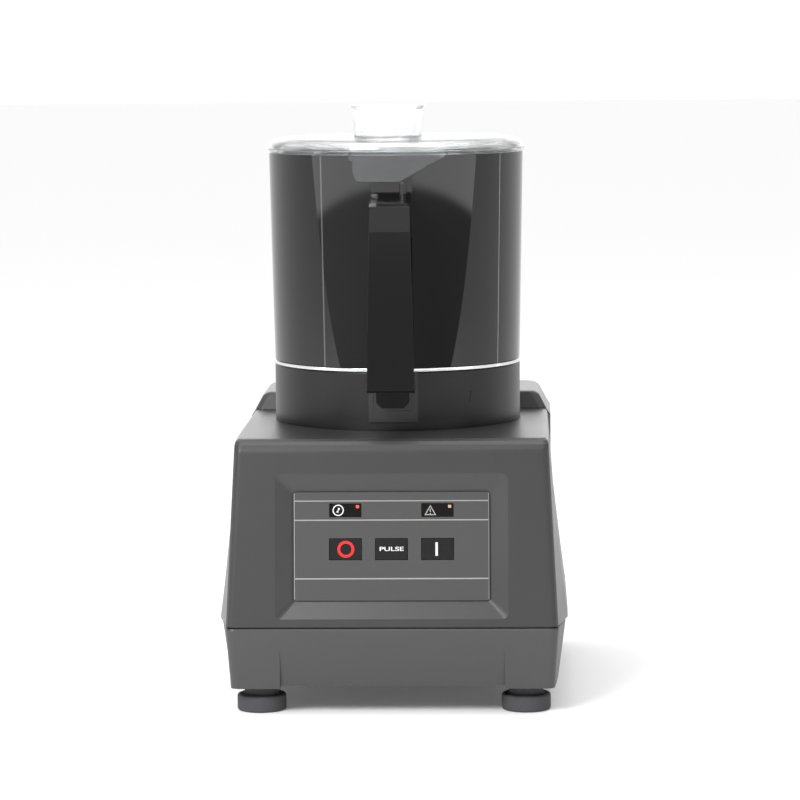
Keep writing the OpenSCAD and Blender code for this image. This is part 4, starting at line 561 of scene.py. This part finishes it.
def mark(obj, u, v, w, finish, body="base", slot="overlay_film"):
    return piece(on_panel(obj, u, v, w), body, slot, finish)


print("slope:", round(math.degrees(SLOPE), 2))

# %% [markdown]
# Three light rules cross the panel and fill the shallow grooves of the overlay. The thin light
# lines up the overlay's left and right edges are painted highlights on those edges.
# %% Rules
for label, v, wide in (("top", 32.47, 0.75), ("middle", 18.78, 0.85), ("low", -23.04, 0.95)):
    mark(bar("rule_" + label, 138, wide, 0.27), 0, v, OVERLAY - 0.25, rule_grey)
# painted highlight: thin light lines along the overlay's left and right edges stand in for light caught by
# them
mark(bar("edge_highlight_left", 0.45, 76, 0.04), -69.4, 0, OVERLAY, rule_grey)
mark(bar("edge_highlight_right", 0.25, 76, 0.04), 69.4, 0, OVERLAY, rule_grey)

# %% [markdown]
# The lamp windows carry a power sign and a warning triangle, each with a small square lamp.
# %% Lamp windows
for label, side in (("power", -1), ("fault", 1)):
    u = side * 32.9
    if label == "power":
        mark(outline("power_ring", 4.0, 3.25), u - 5.1, 25.8, OVERLAY, print_white)
        mark(wedge("flash_upper", 1.9, 160, 0.5), u - 4.75, 26.5, OVERLAY, print_white)
        mark(wedge("flash_lower", 1.9, -20, 0.5), u - 5.4, 25.1, OVERLAY, print_white)
    else:
        mark(outline("warning_edge", 4.9, 3.5, 3), u - 5.1, 24.6, OVERLAY, rule_grey)
        mark(bar("warning_bar", 0.75, 2.3), u - 5.1, 25.4, OVERLAY, rule_grey)
        mark(bar("warning_dot", 0.8, 0.7), u - 5.1, 23.2, OVERLAY, rule_grey)
    mark(bar("lamp_" + label, 2.2, 2.1, 0.08), u + 8.7, 28.4, OVERLAY,
         lamp_red if side < 0 else lamp_amber, slot="led_lens")

# %% [markdown]
# The keys: a red ring for off, a word for the middle key and a white bar for on. The word is set as
# text, made a mesh, and drawn to its width before it goes to its place.
# %% Keys
mark(outline("off_ring", 6.0, 4.1), -32.6, -2, KEY, print_red, "key_off", "key_plastic")
mark(bar("on_bar", 1.7, 9.6), 32.2, -2, KEY, print_white, "key_on", "key_plastic")
bpy.ops.object.select_all(action="DESELECT")
bpy.ops.object.text_add(location=(0, 0, 0))
word = named("key_word")
word.data.body = "PULSE"
word.data.align_x = "CENTER"
word.data.align_y = "CENTER"
word.data.size = 0.0042
word.data.extrude = 0.000025
word.data.offset = 0.00006
only(word)
bpy.ops.object.convert(target="MESH")
word = bpy.context.active_object
word.name = word.data.name = "key_word"
bpy.ops.object.mode_set(mode="EDIT")
bpy.ops.mesh.select_all(action="SELECT")
bpy.ops.transform.resize(value=(0.0172 / word.dimensions.x, 0.003 / word.dimensions.y, 1),
                         center_override=(0, 0, 0))
bpy.ops.object.mode_set(mode="OBJECT")
mark(word, 0, -2, KEY + 0.025, print_white, "key_pulse", "key_plastic")

# %% [markdown]
# ## Studio
# The object stands on a plain white floor that runs into a white backdrop. The light is large and
# soft. The side of the studio where the camera stands is darker, so the polished bowl is dark in
# its middle and bright at its edges, as polished black always is on a white set.
# %% Floor and world
def blend_by(tree, value, low, high, a, b):
    """Goes from a to b while value goes from low to high. a and b are numbers or sockets."""
    node = tree.nodes.new("ShaderNodeMapRange")
    node.interpolation_type = "SMOOTHSTEP"
    node.inputs["From Min"].default_value = low
    node.inputs["From Max"].default_value = high
    tree.links.new(value, node.inputs["Value"])
    for label, end in (("To Min", a), ("To Max", b)):
        if isinstance(end, (int, float)):
            node.inputs[label].default_value = end
        else:
            tree.links.new(end, node.inputs[label])
    return node.outputs[0]


bpy.ops.object.select_all(action="DESELECT")
bpy.ops.mesh.primitive_plane_add(size=1, location=(0, 10.8, -0.0002), scale=(1, 1, 1))
floor = named("studio_floor")
bpy.ops.object.mode_set(mode="EDIT")
bpy.ops.mesh.select_all(action="SELECT")
bpy.ops.transform.resize(value=(30, 24, 1), center_override=(0, 10.8, 0))
bpy.ops.object.mode_set(mode="OBJECT")
settle(floor)
floor_white = new_material("floor_white", (0.9, 0.9, 0.9), 0.9, specular=0.0)
floor_white.node_tree.nodes["Principled BSDF"].inputs["Emission Color"].default_value = (1, 1, 1, 1)
floor_white.node_tree.nodes["Principled BSDF"].inputs["Emission Strength"].default_value = 0.08
dress(floor, floor_white)

world = bpy.data.worlds.new("studio_world")
scene.world = world
world.use_nodes = True
tree = world.node_tree
background = tree.nodes["Background"]
direction = tree.nodes.new("ShaderNodeTexCoord")
split = tree.nodes.new("ShaderNodeSeparateXYZ")
tree.links.new(direction.outputs["Generated"], split.inputs[0])

# the dark end of the room: dark below, a narrow bright band at the horizon, a dim wall above it
upper_side = blend_by(tree, split.outputs["X"], -0.7, 0.7, 0.34, 0.2)
lower_side = blend_by(tree, split.outputs["X"], -0.9, 0.9, 0.55, 0.28)
band = blend_by(tree, split.outputs["Z"], -0.03, 0.05, 2.4, upper_side)
room = blend_by(tree, split.outputs["Z"], -0.084, -0.080, lower_side, band)
high_up = blend_by(tree, split.outputs["Z"], 0.3, 0.9, room, 1.3)
whole = blend_by(tree, split.outputs["Y"], 0.78, 0.9, high_up, 2.2)
colour = tree.nodes.new("ShaderNodeCombineXYZ")
for label in "XYZ":
    tree.links.new(whole, colour.inputs[label])
tree.links.new(colour.outputs[0], background.inputs[0])
background.inputs[1].default_value = 1.0
print("world nodes:", len(tree.nodes))

# %% [markdown]
# ## Lights
# A large soft light from the upper left models the bevel of the panel recess, and a weaker one fills
# from the right. A third light hangs above the lid. Two narrow strips draw the thin bright lines
# along the bowl and down the edges of the handle.
# %% Lights


def softbox(name, place, target, size, power):
    """A rectangular area light that faces a target point."""
    data = bpy.data.lights.new(name, "AREA")
    data.shape = "RECTANGLE"
    data.size, data.size_y = size
    data.energy = power
    lamp = bpy.data.objects.new(name, data)
    scene.collection.objects.link(lamp)
    lamp.location = place
    aim = Vector(target) - Vector(place)
    lamp.rotation_euler = aim.to_track_quat("-Z", "Y").to_euler()
    return lamp


softbox("key_left", (-0.9, -1.7, 1.35), (0, 0, 0.15), (0.9, 0.7), 44)
softbox("fill_right", (1.6, -1.5, 1.0), (0, 0, 0.15), (0.8, 1.0), 5)
softbox("top_light", (0, 0.2, 2.2), (0, 0, 0.2), (1.6, 1.2), 13)
softbox("strip_left", (-1.2, -0.5, 0.25), (0, 0, 0.25), (0.03, 0.8), 0.25)
softbox("strip_right", (1.43, 0.46, 0.25), (0, 0, 0.25), (0.02, 0.8), 0.2)
